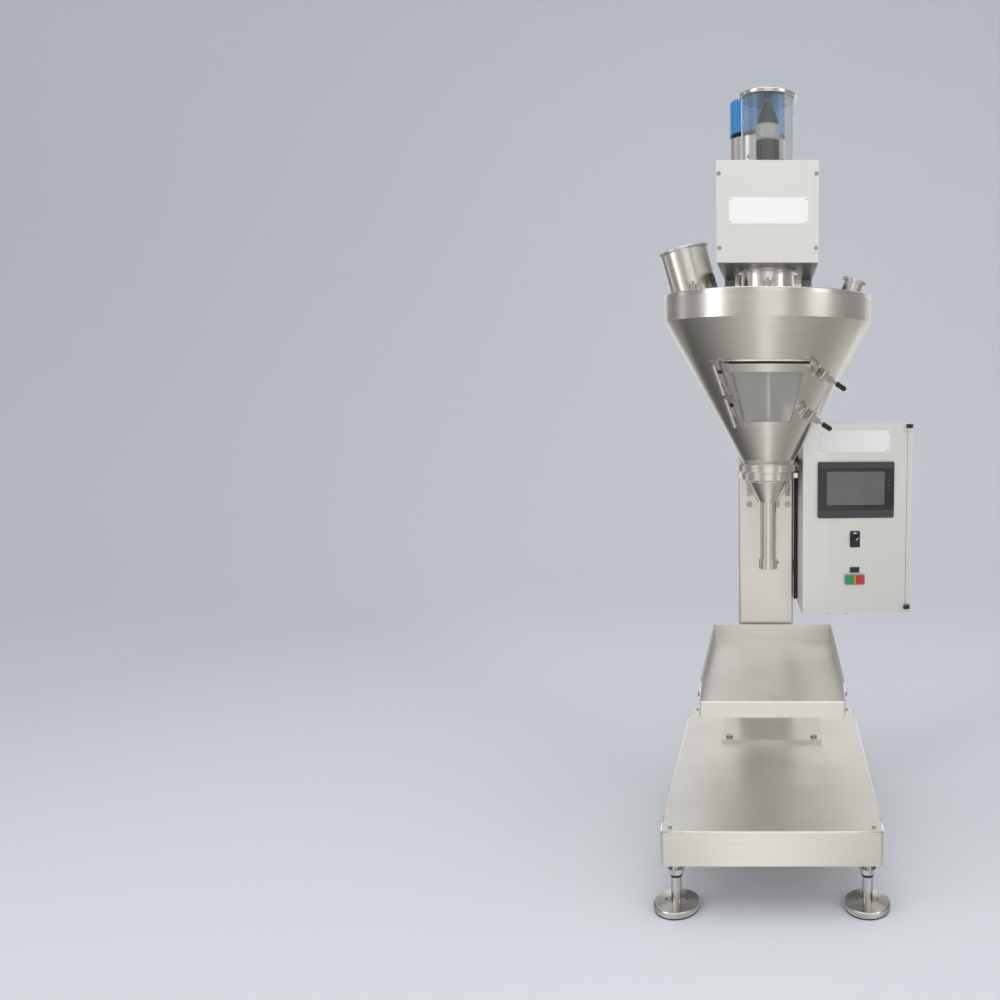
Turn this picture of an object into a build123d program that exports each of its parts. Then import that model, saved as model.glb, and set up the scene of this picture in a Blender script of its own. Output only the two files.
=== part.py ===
from build123d import *
import os
from math import atan2, cos, degrees, radians, sin

# Auger powder filler. Millimetres, +Z up, +Y to the back, +X to the operator's right.
# The origin is the point on the floor straight under the auger's axis.

# Fits and sheet
running = 0.05          # radial clearance of a shaft in its bearing
gap = 0.4               # clearance between pieces that move past each other
seat = 0.1              # radial clearance of a piece that is fixed in a bore
sheet = 3.0

# Base pan and feet
base_width = 490.0
base_depth = 765.0
base_front = -375.0
base_x = 10.0
base_top = 212.0
base_skirt = 80.0
base_corner = 8.0
frame_bar = 40.0
frame_depth = 77.0
foot_inset = 28.0
foot_setback = 59.0
pad_radius = 52.0
pad_rim = 13.0
sole_height = 4.0
pad_rise = 4.0
pad_edge = 2.0
pad_boss = 8.0
sole_inset = 1.0
stem_radius = 12.0
nut_height = 12.0
nut_across = 36.0
stem_below = 1.0

# Column
column_width = 156.0
column_x = -7.0
column_depth = 90.0
column_front = 293.0
column_wall = 4.0
column_corner = 6.0
column_top = 1668.0
plate_width = 272.0
plate_x = 9.0
plate_front = 121.0
plate_back = 386.0
plate_thick = 10.0
bolt_radius = 9.0
bolt_head = 5.0
bolt_inset = 20.0
column_bolt_z = 849.0
column_bolt_x = (-54.0, 24.0, 54.0)

# Tray
tray_width = 328.0
tray_x = 11.0
tray_round = 4.0
tray_front = -248.0
tray_floor = 462.0
tray_apron = 38.0
tray_wall = 41.0
tray_setback = 12.0
side_rise = 38.0
side_thick = 4.0
side_lead = 4.0
side_ramp = 26.0
side_drop = 20.0
side_bolt_radius = 6.0
side_bolt_setback = 20.0
side_bolt_rise = 12.0
arm_width = 60.0
arm_reach = 380.0
arm_drop = 34.0
arm_tip = 12.0
arm_knee = 20.0
arm_heel = 8.0
arm_root = 90.0
pad_plate_drop = 50.0
pad_plate_height = 80.0
pad_plate_inset = 10.0
pad_plate_thick = 8.0

# Hopper
rim_radius = 251.0
band_bottom = 1332.0
band_top = 1384.0
cone_bottom = 987.0
throat_radius = 61.0
bowl_wall = 3.0
seat_flange = 4.0
wall_break = 1.0
lid_thick = 8.0
lid_gasket = 3.0
lid_round = 2.0
lid_lip = 1.6
passage = 4.0
wing_circle = 238.0
wing_angles = (0, 135, 180, 225, 315)
wing_span = 28.0
wing_hub = 7.0
wing_height = 18.0
inlet_radius = 57.0
inlet_x = -175.0
inlet_tilt = 15.0
inlet_length = 117.0
inlet_rim = 6.0
inlet_rim_out = 5.0
inlet_rim_round = 2.4
vent_radius = 24.0
vent_x = 198.0
vent_tilt = 18.0
vent_length = 44.0
vent_rim = 7.0
vent_rim_out = 6.0
pipe_wall = 2.5

# Carrier plate, clamp, funnel and spout
carrier_thick = 14.0
carrier_radius = 76.0
gusset_x = 60.0
gusset_thick = 12.0
gusset_reach = 110.0
gusset_tip = 12.0
gusset_drop = 100.0
clamp_drop = 5.0
clamp_height = 16.0
clamp_wall = 5.0
lug_width = 12.0
lug_depth = 14.0
lug_round = 2.0
lug_out = 3.0
lug_inset = 2.0
throat_gasket = 3.0
funnel_flange = 5.0
funnel_mouth = 47.0
funnel_height = 62.0
funnel_lip = 8.0
funnel_tail = 4.0
funnel_wall = 3.0
tube_radius = 20.3
tube_wall = 2.0
tube_bottom = 735.0
collar_radius = 24.0
collar_height = 24.0
collar_lip = 11.0
collar_edge = 1.0

# Inspection door on the cone, angles from the front
door_top = 1233.0
door_bottom = 1080.0
door_half = 31.0
pane_top = 1212.0
pane_bottom = 1098.0
pane_half = 25.0
door_thick = 4.0
pane_thick = 3.0
door_gasket = 3.0
opening_edge = 3.0
opening_sweep = 1.0
seal_sweep = 1.0
hinge_angle = 36.0
hinge_pin = 3.0
hinge_knuckle = 6.0
hinge_length = 76.0
hinge_stand = 1.0
hinge_stations = (0.25, 0.75)
leaf_thick = 3.0
leaf_sweep = 7.0

# Toggle latches
latch_heights = {"upper": 1206.0, "lower": 1110.0}
latch_tilt = 24.0
latch_beyond = 23.0
latch_stand = 6.0
latch_seat = 0.3
latch_pin = 2.5
pivot_rise = 9.0
base_length = 22.0
ear_half = 8.0
ear_thick = 2.5
ear_drop = 6.0
lever_thick = 3.0
lever_rise = 2.0
lever_head = 9.0
lever_plate = 34.0
lever_bar = 7.0
lever_length = 58.0
grip_length = 30.0
grip_radius = 5.5
grip_round = 2.5
grip_taper = 30.0
bail_wire = 1.8
bail_half = 12.8
bail_pivot = 12.0
bail_reach = 27.0
keeper_reach = 34.0
keeper_foot = 10.0
keeper_width = 20.0
keeper_thick = 4.0

# Auger and agitator
shaft_radius = 8.0
flight_radius = 17.6
flight_pitch = 32.0
flight_rise = 5.0
flight_drop = 18.0
flight_root = 1.0
flight_thick = 2.5
shaft_nose = 3.0
screw_beyond = 14.0
spigot_radius = 5.0
spigot_length = 30.0
sleeve_radius = 20.0
sleeve_room = 6.5       # free play of the auger's shaft in the hollow shaft
sleeve_rise = 17.0
sleeve_beyond = 24.0
scraper_gap = 10.0
scraper_width = 30.0
scraper_thick = 5.0
scraper_rise = 40.0
scraper_drop = 20.0
spoke_width = 14.0
spoke_rise = 12.0
spoke_drop = 30.0

# Drive head
neck_radius = 64.0
neck_flange = 74.0
neck_foot = 8.0
neck_step = 6.0
neck_taper = 2.0
bearing_radius = 31.0
bearing_height = 14.0
bearing_inset = 6.0
box_width = 233.0
box_front = -130.0
box_bottom = 1461.0
box_height = 226.0
box_wall = 4.0
cover_corner = 2.0
shaft_passage = 6.0
screw_radius = 4.0
screw_head = 2.5
screw_inset = 6.0
screw_rise = 33.0
screw_drop = 29.0
pan_screw_radius = 5.0
pan_screw_side = 20.0
pan_screw_front = 18.0
pan_screw_back = 10.0
guard_radius = 64.0
guard_wall = 3.0
guard_height = 168.0
cap_radius = 70.0
cap_height = 9.0
cap_round = 2.0
servo_radius = 28.0
servo_height = 76.0
servo_ribs = 16
rib_depth = 8.0
rib_width = 4.0
ring_edge = 2.0
servo_ring_height = 34.0
boot_height = 52.0
boot_shoulder = 12.0
boot_waist = 3.0
boot_tip = 9.0
boot_neck = 12.0
boot_nose = 8.0
coupling_radius = 20.0
coupling_height = 44.0
coupling_drop = 14.0
shaft_entry = 12.0
stirrer_x = -25.0
stirrer_y = 146.0
stirrer_radius = 73.0
sleeve_height = 110.0
joint_height = 11.0
joint_inset = 3.0
blue_height = 82.0
blue_round = 6.0
pulley_big = 46.0
pulley_small = 27.0
pulley_rise = 17.0
pulley_cheek = 3.0
belt_width = 16.0
belt_thick = 4.0

# Control enclosure, turned a little about Z
enclosure_x = 92.0
enclosure_y = 125.0
enclosure_yaw = 4.0
enclosure_bottom = 572.5
enclosure_height = 510.5
door_width = 278.0
strip_width = 14.0
enclosure_depth = 185.0
door_pan = 16.0
panel_gap = 1.5
skin = 2.0
hinge_rod = 2.0
hinge_barrel = 4.5
hinge_half = 10.0
hinge_lug = 12.0
hinge_inset = 11.0
hinge_stand_off = 0.5
hinge_foot = 8.0
strip_front = 3.0
bracket_rise = 73.0
bracket_pitch = 300.0
bracket_inset = 10.0
bracket_relief = 8.0
bracket_height = 40.0
bracket_depth = 30.0
bracket_span = 190.0
panel_width = 250.0
panel_height = 440.0
spacer_length = 10.0
spacer_radius = 5.0
spacer_inset = 15.0
module_depth = 70.0
module_corner = 3.0
driver_width = 80.0
driver_height = 130.0
driver_u = 55.0
driver_z = 110.0
rail_width = 190.0
supply_height = 80.0
supply_z = -40.0
strip_height = 40.0
strip_z = -150.0
bezel_width = 204.0
bezel_height = 149.5
bezel_u = 141.0
bezel_z = 908.0
bezel_thick = 8.0
bezel_corner = 5.0
bezel_round = 1.5
screen_width = 155.0
screen_height = 90.0
screen_corner = 2.0
screen_shift_u = -1.0
screen_shift_z = 5.0
screen_recess = 1.0
screen_thick = 2.0
control_u = 140.0
selector_z = 775.5
selector_width = 27.0
selector_height = 44.0
plate_corner = 3.0
knob_radius = 10.5
knob_height = 16.0
knob_grip = 7.0
knob_turn = 45.0
knob_ease = 1.0
legend_z = 692.0
legend_width = 26.0
legend_height = 15.0
legend_corner = 2.0
buttons_z = 666.5
buttons_width = 54.0
buttons_height = 28.0
buttons_thick = 9.0
frame_corner = 4.0
button_bar = 4.0
button_proud = 2.0
plate_skin = 3.0
button_width = 22.0
button_corner = 3.0
button_travel = 4.0
gland_radius = 10.0
gland_length = 22.0
gland_nut = 2.0
gland_stations = (84.0, 130.0)

os.makedirs("parts", exist_ok=True)

# Places worked out from the sizes above
base_back = base_front + base_depth
base_bottom = base_top - base_skirt
foot_x = base_width / 2 - foot_inset
foot_front = base_front + foot_setback
foot_back = base_back - foot_setback
foot_spots = [(x, y) for x in (base_x - foot_x, base_x + foot_x) for y in (foot_front, foot_back)]
tray_back = column_front - tray_setback
cone_slope = (rim_radius - throat_radius) / (band_bottom - cone_bottom)
cone_angle = degrees(atan2(rim_radius - throat_radius, band_bottom - cone_bottom))
cone_cos = cos(radians(cone_angle))
cone_sin = sin(radians(cone_angle))
flat_wall = bowl_wall / cone_cos
lid_bottom = band_top + lid_gasket
lid_top = lid_bottom + lid_thick
carrier_bottom = cone_bottom - carrier_thick
clamp_top = carrier_bottom - clamp_drop
clamp_bottom = clamp_top - clamp_height
funnel_top = clamp_bottom + funnel_flange
throat_bottom = funnel_top + throat_gasket
funnel_bottom = clamp_bottom - funnel_height
flight_bottom = tube_bottom + flight_rise
flight_top = clamp_bottom - flight_drop
sleeve_bottom = cone_bottom + sleeve_rise
box_back = column_front
box_top = box_bottom + box_height
pulley_z = box_bottom + pulley_rise
neck_bottom = lid_top
guard_top = box_top + guard_height
yaw_cos = cos(radians(enclosure_yaw))
yaw_sin = sin(radians(enclosure_yaw))
enclosure_top = enclosure_bottom + enclosure_height
body_width = door_width + panel_gap + strip_width
hinge_u = door_width + panel_gap / 2
hinge_v = -hinge_barrel - hinge_stand_off
hinge_levels = (enclosure_bottom + hinge_inset, enclosure_top - hinge_inset)
bracket_levels = (enclosure_bottom + bracket_rise, enclosure_bottom + bracket_rise + bracket_pitch)


def cone_radius(z, out=0.0):
    """Outside radius of the cone at a height, moved outwards square to its wall."""
    return throat_radius + cone_slope * (z - cone_bottom) + out / cone_cos


def radial_plane(angle):
    """Upright half plane through the axis, at an angle from the front towards +X."""
    a = radians(angle)
    return Plane(origin=(0, 0, 0), x_dir=(sin(a), -cos(a), 0), z_dir=(-cos(a), -sin(a), 0))


def cone_plane(angle, z, out):
    """Plane on the cone: x along the tangent to the right, y up the slope, z outwards."""
    a = radians(angle)
    r = cone_radius(z, out)
    return Plane(
        origin=(r * sin(a), -r * cos(a), z),
        x_dir=(cos(a), sin(a), 0),
        z_dir=(sin(a) * cone_cos, -cos(a) * cone_cos, -cone_sin),
    )


def cone_patch(low, high, inner, outer):
    """Four corners, in radius and height, of a plate that follows the cone."""
    return [
        (cone_radius(low, inner), low),
        (cone_radius(low, outer), low),
        (cone_radius(high, outer), high),
        (cone_radius(high, inner), high),
    ]


def enclosure_plane(u, v, z):
    """Plane at a place in the enclosure's own frame, x to its right and z up."""
    return Plane(
        origin=(
            enclosure_x + u * yaw_cos - v * yaw_sin,
            enclosure_y + u * yaw_sin + v * yaw_cos,
            z,
        ),
        x_dir=(yaw_cos, yaw_sin, 0),
        z_dir=(0, 0, 1),
    )


def front_plane(u, v, z):
    """Plane parallel to the enclosure's door: x right, y up, z out of the door."""
    return Plane(
        origin=enclosure_plane(u, v, z).origin,
        x_dir=(yaw_cos, yaw_sin, 0),
        z_dir=(yaw_sin, -yaw_cos, 0),
    )


# Base pan: a folded sheet cover, open underneath
with BuildPart() as base_pan:
    with BuildSketch(Plane.XY.offset(base_bottom)):
        with Locations((base_x, base_front + base_depth / 2)):
            RectangleRounded(base_width, base_depth, base_corner)
    extrude(amount=base_skirt)
    offset(amount=-sheet, openings=base_pan.faces().sort_by(Axis.Z)[0])
base_pan.part.label = "base_pan"
export_step(base_pan.part, "parts/base_pan.step")

# Inner frame: a ring of square bar under the pan, bored for the feet
frame_top = base_top - sheet
with BuildPart() as base_frame:
    with BuildSketch(Plane.XY.offset(frame_top - frame_depth)):
        with Locations((base_x, base_front + base_depth / 2)):
            Rectangle(base_width - 2 * (sheet + base_corner), base_depth - 2 * (sheet + base_corner))
            Rectangle(
                base_width - 2 * (sheet + base_corner) - 2 * frame_bar,
                base_depth - 2 * (sheet + base_corner) - 2 * frame_bar,
                mode=Mode.SUBTRACT,
            )
        with Locations(*foot_spots):
            Circle(stem_radius + seat, mode=Mode.SUBTRACT)
    extrude(amount=frame_depth)
base_frame.part.label = "base_frame"
export_step(base_frame.part, "parts/base_frame.step")

# Levelling feet
stem_low = sole_height + pad_rim
with BuildPart() as foot_soles:
    with BuildSketch():
        with Locations(*foot_spots):
            Circle(pad_radius - sole_inset)
    extrude(amount=sole_height)
foot_soles.part.label = "foot_soles"
export_step(foot_soles.part, "parts/foot_soles.step")

with BuildPart() as levelling_feet:
    for x, y in foot_spots:
        with BuildSketch(Plane.XZ.offset(-y)):
            with Locations((x, 0)):
                Polygon(
                    (0, sole_height),
                    (pad_radius, sole_height),
                    (pad_radius, stem_low - pad_edge),
                    (pad_radius - pad_edge, stem_low),
                    (stem_radius + pad_boss, stem_low + pad_rise),
                    (stem_radius, stem_low + pad_rise),
                    (stem_radius, frame_top - stem_below),
                    (0, frame_top - stem_below),
                    align=None,
                )
        revolve(axis=Axis((x, y, 0), (0, 0, 1)))
levelling_feet.part.label = "levelling_feet"
export_step(levelling_feet.part, "parts/levelling_feet.step")

with BuildPart() as foot_nuts:
    with BuildSketch(Plane.XY.offset(frame_top - frame_depth - nut_height)):
        with Locations(*foot_spots):
            RegularPolygon(nut_across / 2, 6, major_radius=False)
            Circle(stem_radius + seat, mode=Mode.SUBTRACT)
    extrude(amount=nut_height)
foot_nuts.part.label = "foot_nuts"
export_step(foot_nuts.part, "parts/foot_nuts.step")

# Column: a welded tube with its foot plate and top cap
with BuildPart() as column:
    with BuildSketch(Plane.XY.offset(base_top)):
        with Locations((plate_x, (plate_front + plate_back) / 2)):
            RectangleRounded(plate_width, plate_back - plate_front, column_corner)
    extrude(amount=plate_thick)
    with BuildSketch(Plane.XY.offset(base_top + plate_thick)):
        with Locations((column_x, column_front + column_depth / 2)):
            RectangleRounded(column_width, column_depth, column_corner)
            Rectangle(column_width - 2 * column_wall, column_depth - 2 * column_wall, mode=Mode.SUBTRACT)
    extrude(amount=column_top - base_top - plate_thick)
    with BuildSketch(Plane.XY.offset(column_top)):
        with Locations((column_x, column_front + column_depth / 2)):
            RectangleRounded(column_width, column_depth, column_corner)
    extrude(amount=sheet)
column.part.label = "column"
export_step(column.part, "parts/column.step")

foot_bolt_x = plate_width / 2 - bolt_inset
with BuildPart() as column_bolts:
    with BuildSketch(Plane.XY.offset(base_top + plate_thick)):
        for y in (plate_front + bolt_inset, plate_back - bolt_inset):
            with Locations((plate_x - foot_bolt_x, y), (plate_x + foot_bolt_x, y)):
                RegularPolygon(bolt_radius, 6)
    extrude(amount=bolt_head)
    with BuildSketch(Plane.XZ.offset(-column_front)):
        with Locations(*[(x, column_bolt_z) for x in column_bolt_x]):
            RegularPolygon(bolt_radius, 6)
    extrude(amount=bolt_head)
column_bolts.part.label = "column_bolts"
export_step(column_bolts.part, "parts/column_bolts.step")

# Tray: floor with a folded apron in front and a wall behind, on an arm from the column
with BuildPart() as tray:
    with BuildSketch(Plane.YZ.offset(tray_x - tray_width / 2)):
        Polygon(
            (tray_front, tray_floor - tray_apron),
            (tray_front + sheet, tray_floor - tray_apron),
            (tray_front + sheet, tray_floor - sheet),
            (tray_back, tray_floor - sheet),
            (tray_back, tray_floor + tray_wall),
            (tray_back - sheet, tray_floor + tray_wall),
            (tray_back - sheet, tray_floor),
            (tray_front, tray_floor),
            align=None,
        )
    extrude(amount=tray_width)
    fold = tray.edges().filter_by(Axis.X).filter_by_position(Axis.Y, tray_front, tray_front)
    fillet(fold.sort_by(Axis.Z)[-1], tray_round)
tray.part.label = "tray"
export_step(tray.part, "parts/tray.step")

with BuildPart() as tray_sides:
    for side in (-1, 1):
        start = tray_x + (tray_width / 2 if side > 0 else -tray_width / 2 - side_thick)
        with BuildSketch(Plane.YZ.offset(start)):
            Polygon(
                (tray_front + side_lead, tray_floor - tray_apron),
                (tray_back, tray_floor - tray_apron),
                (tray_back, tray_floor + tray_wall),
                (tray_front + side_ramp, tray_floor + side_rise),
                (tray_front + side_lead, tray_floor + side_rise - side_drop),
                align=None,
            )
        extrude(amount=side_thick)
tray_sides.part.label = "tray_sides"
export_step(tray_sides.part, "parts/tray_sides.step")

with BuildPart() as tray_bracket:
    with BuildSketch(Plane.YZ.offset(-arm_width / 2)):
        Polygon(
            (column_front, tray_floor - sheet),
            (column_front - arm_reach, tray_floor - sheet),
            (column_front - arm_reach, tray_floor - sheet - arm_tip),
            (column_front - arm_knee, tray_floor - sheet - arm_drop),
            (column_front - arm_heel, tray_floor - sheet - arm_root),
            (column_front, tray_floor - sheet - arm_root),
            align=None,
        )
    extrude(amount=arm_width)
    with BuildSketch(Plane.XZ.offset(-column_front)):
        with Locations((0, tray_floor - sheet - pad_plate_drop)):
            Rectangle(column_width - 2 * pad_plate_inset, pad_plate_height)
    extrude(amount=pad_plate_thick)
tray_bracket.part.label = "tray_bracket"
export_step(tray_bracket.part, "parts/tray_bracket.step")

# Hopper bowl: band, cone, seat flange and throat in one spinning, with the door's opening cut out
opening_half = pane_half + opening_sweep
opening_low = pane_bottom - opening_edge
opening_high = pane_top + opening_edge
with BuildPart() as hopper_bowl:
    with BuildSketch(Plane.XZ):
        Polygon(
            (rim_radius, band_top),
            (rim_radius, band_bottom),
            (throat_radius + seat_flange / 2 * cone_slope, cone_bottom + seat_flange),
            (carrier_radius - seat_flange, cone_bottom + seat_flange),
            (carrier_radius - seat_flange, cone_bottom),
            (throat_radius, cone_bottom),
            (throat_radius, throat_bottom),
            (throat_radius - bowl_wall, throat_bottom),
            (throat_radius - bowl_wall, cone_bottom),
            (rim_radius - flat_wall, band_bottom + wall_break),
            (rim_radius - flat_wall, band_top),
            align=None,
        )
    revolve(axis=Axis.Z)
    with BuildSketch(radial_plane(-opening_half)):
        Polygon(*cone_patch(opening_low, opening_high, -3 * bowl_wall, bowl_wall), align=None)
    revolve(axis=Axis.Z, revolution_arc=2 * opening_half, mode=Mode.SUBTRACT)
hopper_bowl.part.label = "hopper_bowl"
export_step(hopper_bowl.part, "parts/hopper_bowl.step")

with BuildPart() as hopper_seals:
    with BuildSketch(Plane.XY.offset(band_top)):
        Circle(rim_radius - lid_lip - seat)
        Circle(rim_radius - flat_wall, mode=Mode.SUBTRACT)
    extrude(amount=lid_gasket)
    with BuildSketch(Plane.XY.offset(funnel_top)):
        Circle(throat_radius)
        Circle(throat_radius - bowl_wall, mode=Mode.SUBTRACT)
    extrude(amount=throat_gasket)
hopper_seals.part.label = "hopper_seals"
export_step(hopper_seals.part, "parts/hopper_seals.step")



def leaning_plane(x, tilt):
    """Plane on the lid for a pipe that leans to the right by an angle."""
    lean = radians(tilt)
    return Plane(origin=(x, 0, lid_top), x_dir=(cos(lean), 0, -sin(lean)), z_dir=(sin(lean), 0, cos(lean)))


inlet_axis = leaning_plane(inlet_x, -inlet_tilt)
vent_axis = leaning_plane(vent_x, vent_tilt)

with BuildPart() as hopper_lid:
    with BuildSketch(Plane.XY.offset(lid_bottom)):
        Circle(rim_radius)
        Circle(sleeve_radius + passage, mode=Mode.SUBTRACT)
    extrude(amount=lid_thick)
    fillet(hopper_lid.edges().group_by(Axis.Z)[-1].sort_by(SortBy.LENGTH)[-1], lid_round)
    with BuildSketch(Plane.XY.offset(band_top + seat)):
        Circle(rim_radius)
        Circle(rim_radius - lid_lip, mode=Mode.SUBTRACT)
    extrude(amount=lid_gasket - seat)
    for axis, radius in ((inlet_axis, inlet_radius - pipe_wall), (vent_axis, vent_radius - pipe_wall)):
        with BuildSketch(axis.offset(-3 * lid_thick)):
            Circle(radius)
        extrude(amount=6 * lid_thick, mode=Mode.SUBTRACT)
hopper_lid.part.label = "hopper_lid"
export_step(hopper_lid.part, "parts/hopper_lid.step")

# Tilted pipes on the lid, each cut off square with the lid's top
with BuildPart() as powder_inlet:
    with BuildSketch(inlet_axis.offset(-inlet_radius)):
        Circle(inlet_radius)
    extrude(amount=inlet_length + inlet_radius)
    with BuildSketch(inlet_axis.offset(inlet_length - inlet_rim)):
        Circle(inlet_radius + inlet_rim_out)
    extrude(amount=inlet_rim)
    fillet(powder_inlet.edges().group_by(SortBy.LENGTH)[-1], inlet_rim_round)
    with BuildSketch(inlet_axis.offset(-inlet_radius)):
        Circle(inlet_radius - pipe_wall)
    extrude(amount=inlet_length + 2 * inlet_radius, mode=Mode.SUBTRACT)
    split(bisect_by=Plane.XY.offset(lid_top), keep=Keep.TOP)
powder_inlet.part.label = "powder_inlet"
export_step(powder_inlet.part, "parts/powder_inlet.step")

with BuildPart() as vent_spigot:
    with BuildSketch(vent_axis.offset(-vent_radius)):
        Circle(vent_radius)
    extrude(amount=vent_length + vent_radius)
    with BuildSketch(vent_axis.offset(vent_length - vent_rim)):
        Circle(vent_radius + vent_rim_out)
    extrude(amount=vent_rim)
    with BuildSketch(vent_axis.offset(-vent_radius)):
        Circle(vent_radius - pipe_wall)
    extrude(amount=vent_length + 2 * vent_radius, mode=Mode.SUBTRACT)
    split(bisect_by=Plane.XY.offset(lid_top), keep=Keep.TOP)
vent_spigot.part.label = "vent_spigot"
export_step(vent_spigot.part, "parts/vent_spigot.step")

# Wing nuts round the lid's edge
wing_spots = [(wing_circle * sin(radians(a)), -wing_circle * cos(radians(a))) for a in wing_angles]
with BuildPart() as wing_nuts:
    with BuildSketch(Plane.XY.offset(lid_top)):
        with Locations(*wing_spots):
            Circle(wing_hub)
    extrude(amount=wing_height / 2)
    with BuildSketch(Plane.XY.offset(lid_top + wing_height / 4)):
        with Locations(*wing_spots):
            SlotOverall(wing_span, wing_hub / 2)
    extrude(amount=wing_height * 3 / 4)
wing_nuts.part.label = "wing_nuts"
export_step(wing_nuts.part, "parts/wing_nuts.step")

# Carrier plate from the column to the hopper's throat
with BuildPart() as hopper_carrier:
    with BuildSketch(Plane.XY.offset(carrier_bottom)):
        Circle(carrier_radius)
        with Locations((0, column_front / 2)):
            Rectangle(2 * carrier_radius, column_front)
        Circle(throat_radius + seat, mode=Mode.SUBTRACT)
    extrude(amount=carrier_thick)
    with BuildSketch(Plane.YZ.offset(-gusset_x)):
        Polygon(
            (column_front, carrier_bottom),
            (column_front - gusset_reach, carrier_bottom),
            (column_front - gusset_tip, carrier_bottom - gusset_drop),
            (column_front, carrier_bottom - gusset_drop),
            align=None,
        )
    extrude(amount=gusset_thick)
    mirror(about=Plane.YZ, mode=Mode.ADD)
hopper_carrier.part.label = "hopper_carrier"
export_step(hopper_carrier.part, "parts/hopper_carrier.step")

# Clamp ring, funnel, auger tube and spout collar
clamp_inner = throat_radius + seat
clamp_outer = clamp_inner + clamp_wall
with BuildPart() as clamp_ring:
    with BuildSketch(Plane.XY.offset(clamp_bottom)):
        Circle(clamp_outer)
        Circle(clamp_inner, mode=Mode.SUBTRACT)
    extrude(amount=clamp_height)
    with BuildSketch(Plane.XY.offset(clamp_bottom + lug_inset)):
        with Locations((-clamp_outer - lug_out, 0), (clamp_outer + lug_out, 0)):
            RectangleRounded(lug_width, lug_depth, lug_round)
    extrude(amount=clamp_height - 2 * lug_inset)
clamp_ring.part.label = "clamp_ring"
export_step(clamp_ring.part, "parts/clamp_ring.step")

with BuildPart() as funnel:
    with BuildSketch(Plane.XZ):
        Polygon(
            (throat_radius, funnel_top),
            (throat_radius, clamp_bottom),
            (funnel_mouth, clamp_bottom),
            (funnel_mouth, clamp_bottom - funnel_lip),
            (tube_radius, funnel_bottom + funnel_tail),
            (tube_radius, funnel_bottom),
            (tube_radius - tube_wall, funnel_bottom),
            (tube_radius - tube_wall, funnel_bottom + funnel_tail),
            (funnel_mouth - funnel_wall, clamp_bottom - funnel_lip),
            (throat_radius - bowl_wall, funnel_top),
            align=None,
        )
    revolve(axis=Axis.Z)
funnel.part.label = "funnel"
export_step(funnel.part, "parts/funnel.step")

with BuildPart() as auger_tube:
    with BuildSketch(Plane.XY.offset(tube_bottom)):
        Circle(tube_radius)
        Circle(tube_radius - tube_wall, mode=Mode.SUBTRACT)
    extrude(amount=funnel_bottom - tube_bottom)
auger_tube.part.label = "auger_tube"
export_step(auger_tube.part, "parts/auger_tube.step")

with BuildPart() as spout_collar:
    with BuildSketch(Plane.XZ):
        Polygon(
            (tube_radius + seat, tube_bottom + collar_height - collar_lip),
            (collar_radius, tube_bottom + collar_height - collar_lip),
            (collar_radius, tube_bottom - collar_lip + collar_edge),
            (collar_radius - collar_edge, tube_bottom - collar_lip),
            (tube_radius - tube_wall, tube_bottom - collar_lip),
            (tube_radius - tube_wall, tube_bottom),
            (tube_radius + seat, tube_bottom),
            align=None,
        )
    revolve(axis=Axis.Z)
spout_collar.part.label = "spout_collar"
export_step(spout_collar.part, "parts/spout_collar.step")

# Inspection door: a plate that follows the cone, its pane and its gasket
door_inner = door_gasket
door_outer = door_inner + door_thick
with BuildPart() as door_seal:
    with BuildSketch(radial_plane(-door_half + seal_sweep)):
        seal_ends = (door_bottom + opening_edge, door_top - opening_edge)
        Polygon(*cone_patch(*seal_ends, gap, door_gasket), align=None)
    revolve(axis=Axis.Z, revolution_arc=2 * (door_half - seal_sweep))
    with BuildSketch(radial_plane(-opening_half)):
        Polygon(*cone_patch(opening_low, opening_high, 0, 2 * door_gasket), align=None)
    revolve(axis=Axis.Z, revolution_arc=2 * opening_half, mode=Mode.SUBTRACT)
door_seal.part.label = "door_seal"
export_step(door_seal.part, "parts/door_seal.step")

with BuildPart() as door_frame:
    with BuildSketch(radial_plane(-door_half)):
        Polygon(*cone_patch(door_bottom, door_top, door_inner, door_outer), align=None)
    revolve(axis=Axis.Z, revolution_arc=2 * door_half)
    with BuildSketch(radial_plane(-pane_half)):
        Polygon(*cone_patch(pane_bottom, pane_top, door_inner - seat, door_outer + seat), align=None)
    revolve(axis=Axis.Z, revolution_arc=2 * pane_half, mode=Mode.SUBTRACT)
door_frame.part.label = "door_frame"
export_step(door_frame.part, "parts/door_frame.step")

with BuildPart() as door_pane:
    with BuildSketch(radial_plane(-pane_half)):
        Polygon(*cone_patch(pane_bottom, pane_top, door_inner, door_inner + pane_thick), align=None)
    revolve(axis=Axis.Z, revolution_arc=2 * pane_half)
door_pane.part.label = "door_pane"
export_step(door_pane.part, "parts/door_pane.step")

# Door hinges: two knuckled leaves along the slope, on pins outside the plate
hinge_out = door_outer + hinge_knuckle + hinge_stand
hinge_heights = [door_bottom + (door_top - door_bottom) * s for s in hinge_stations]
knuckle_cut = hinge_length / 3


def knuckle_plane(z, along):
    """Plane square to the hinge pin, part way along it."""
    plane = cone_plane(-hinge_angle, z, hinge_out)
    return Plane(origin=plane.origin, x_dir=plane.x_dir, z_dir=plane.y_dir).offset(along)


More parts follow.
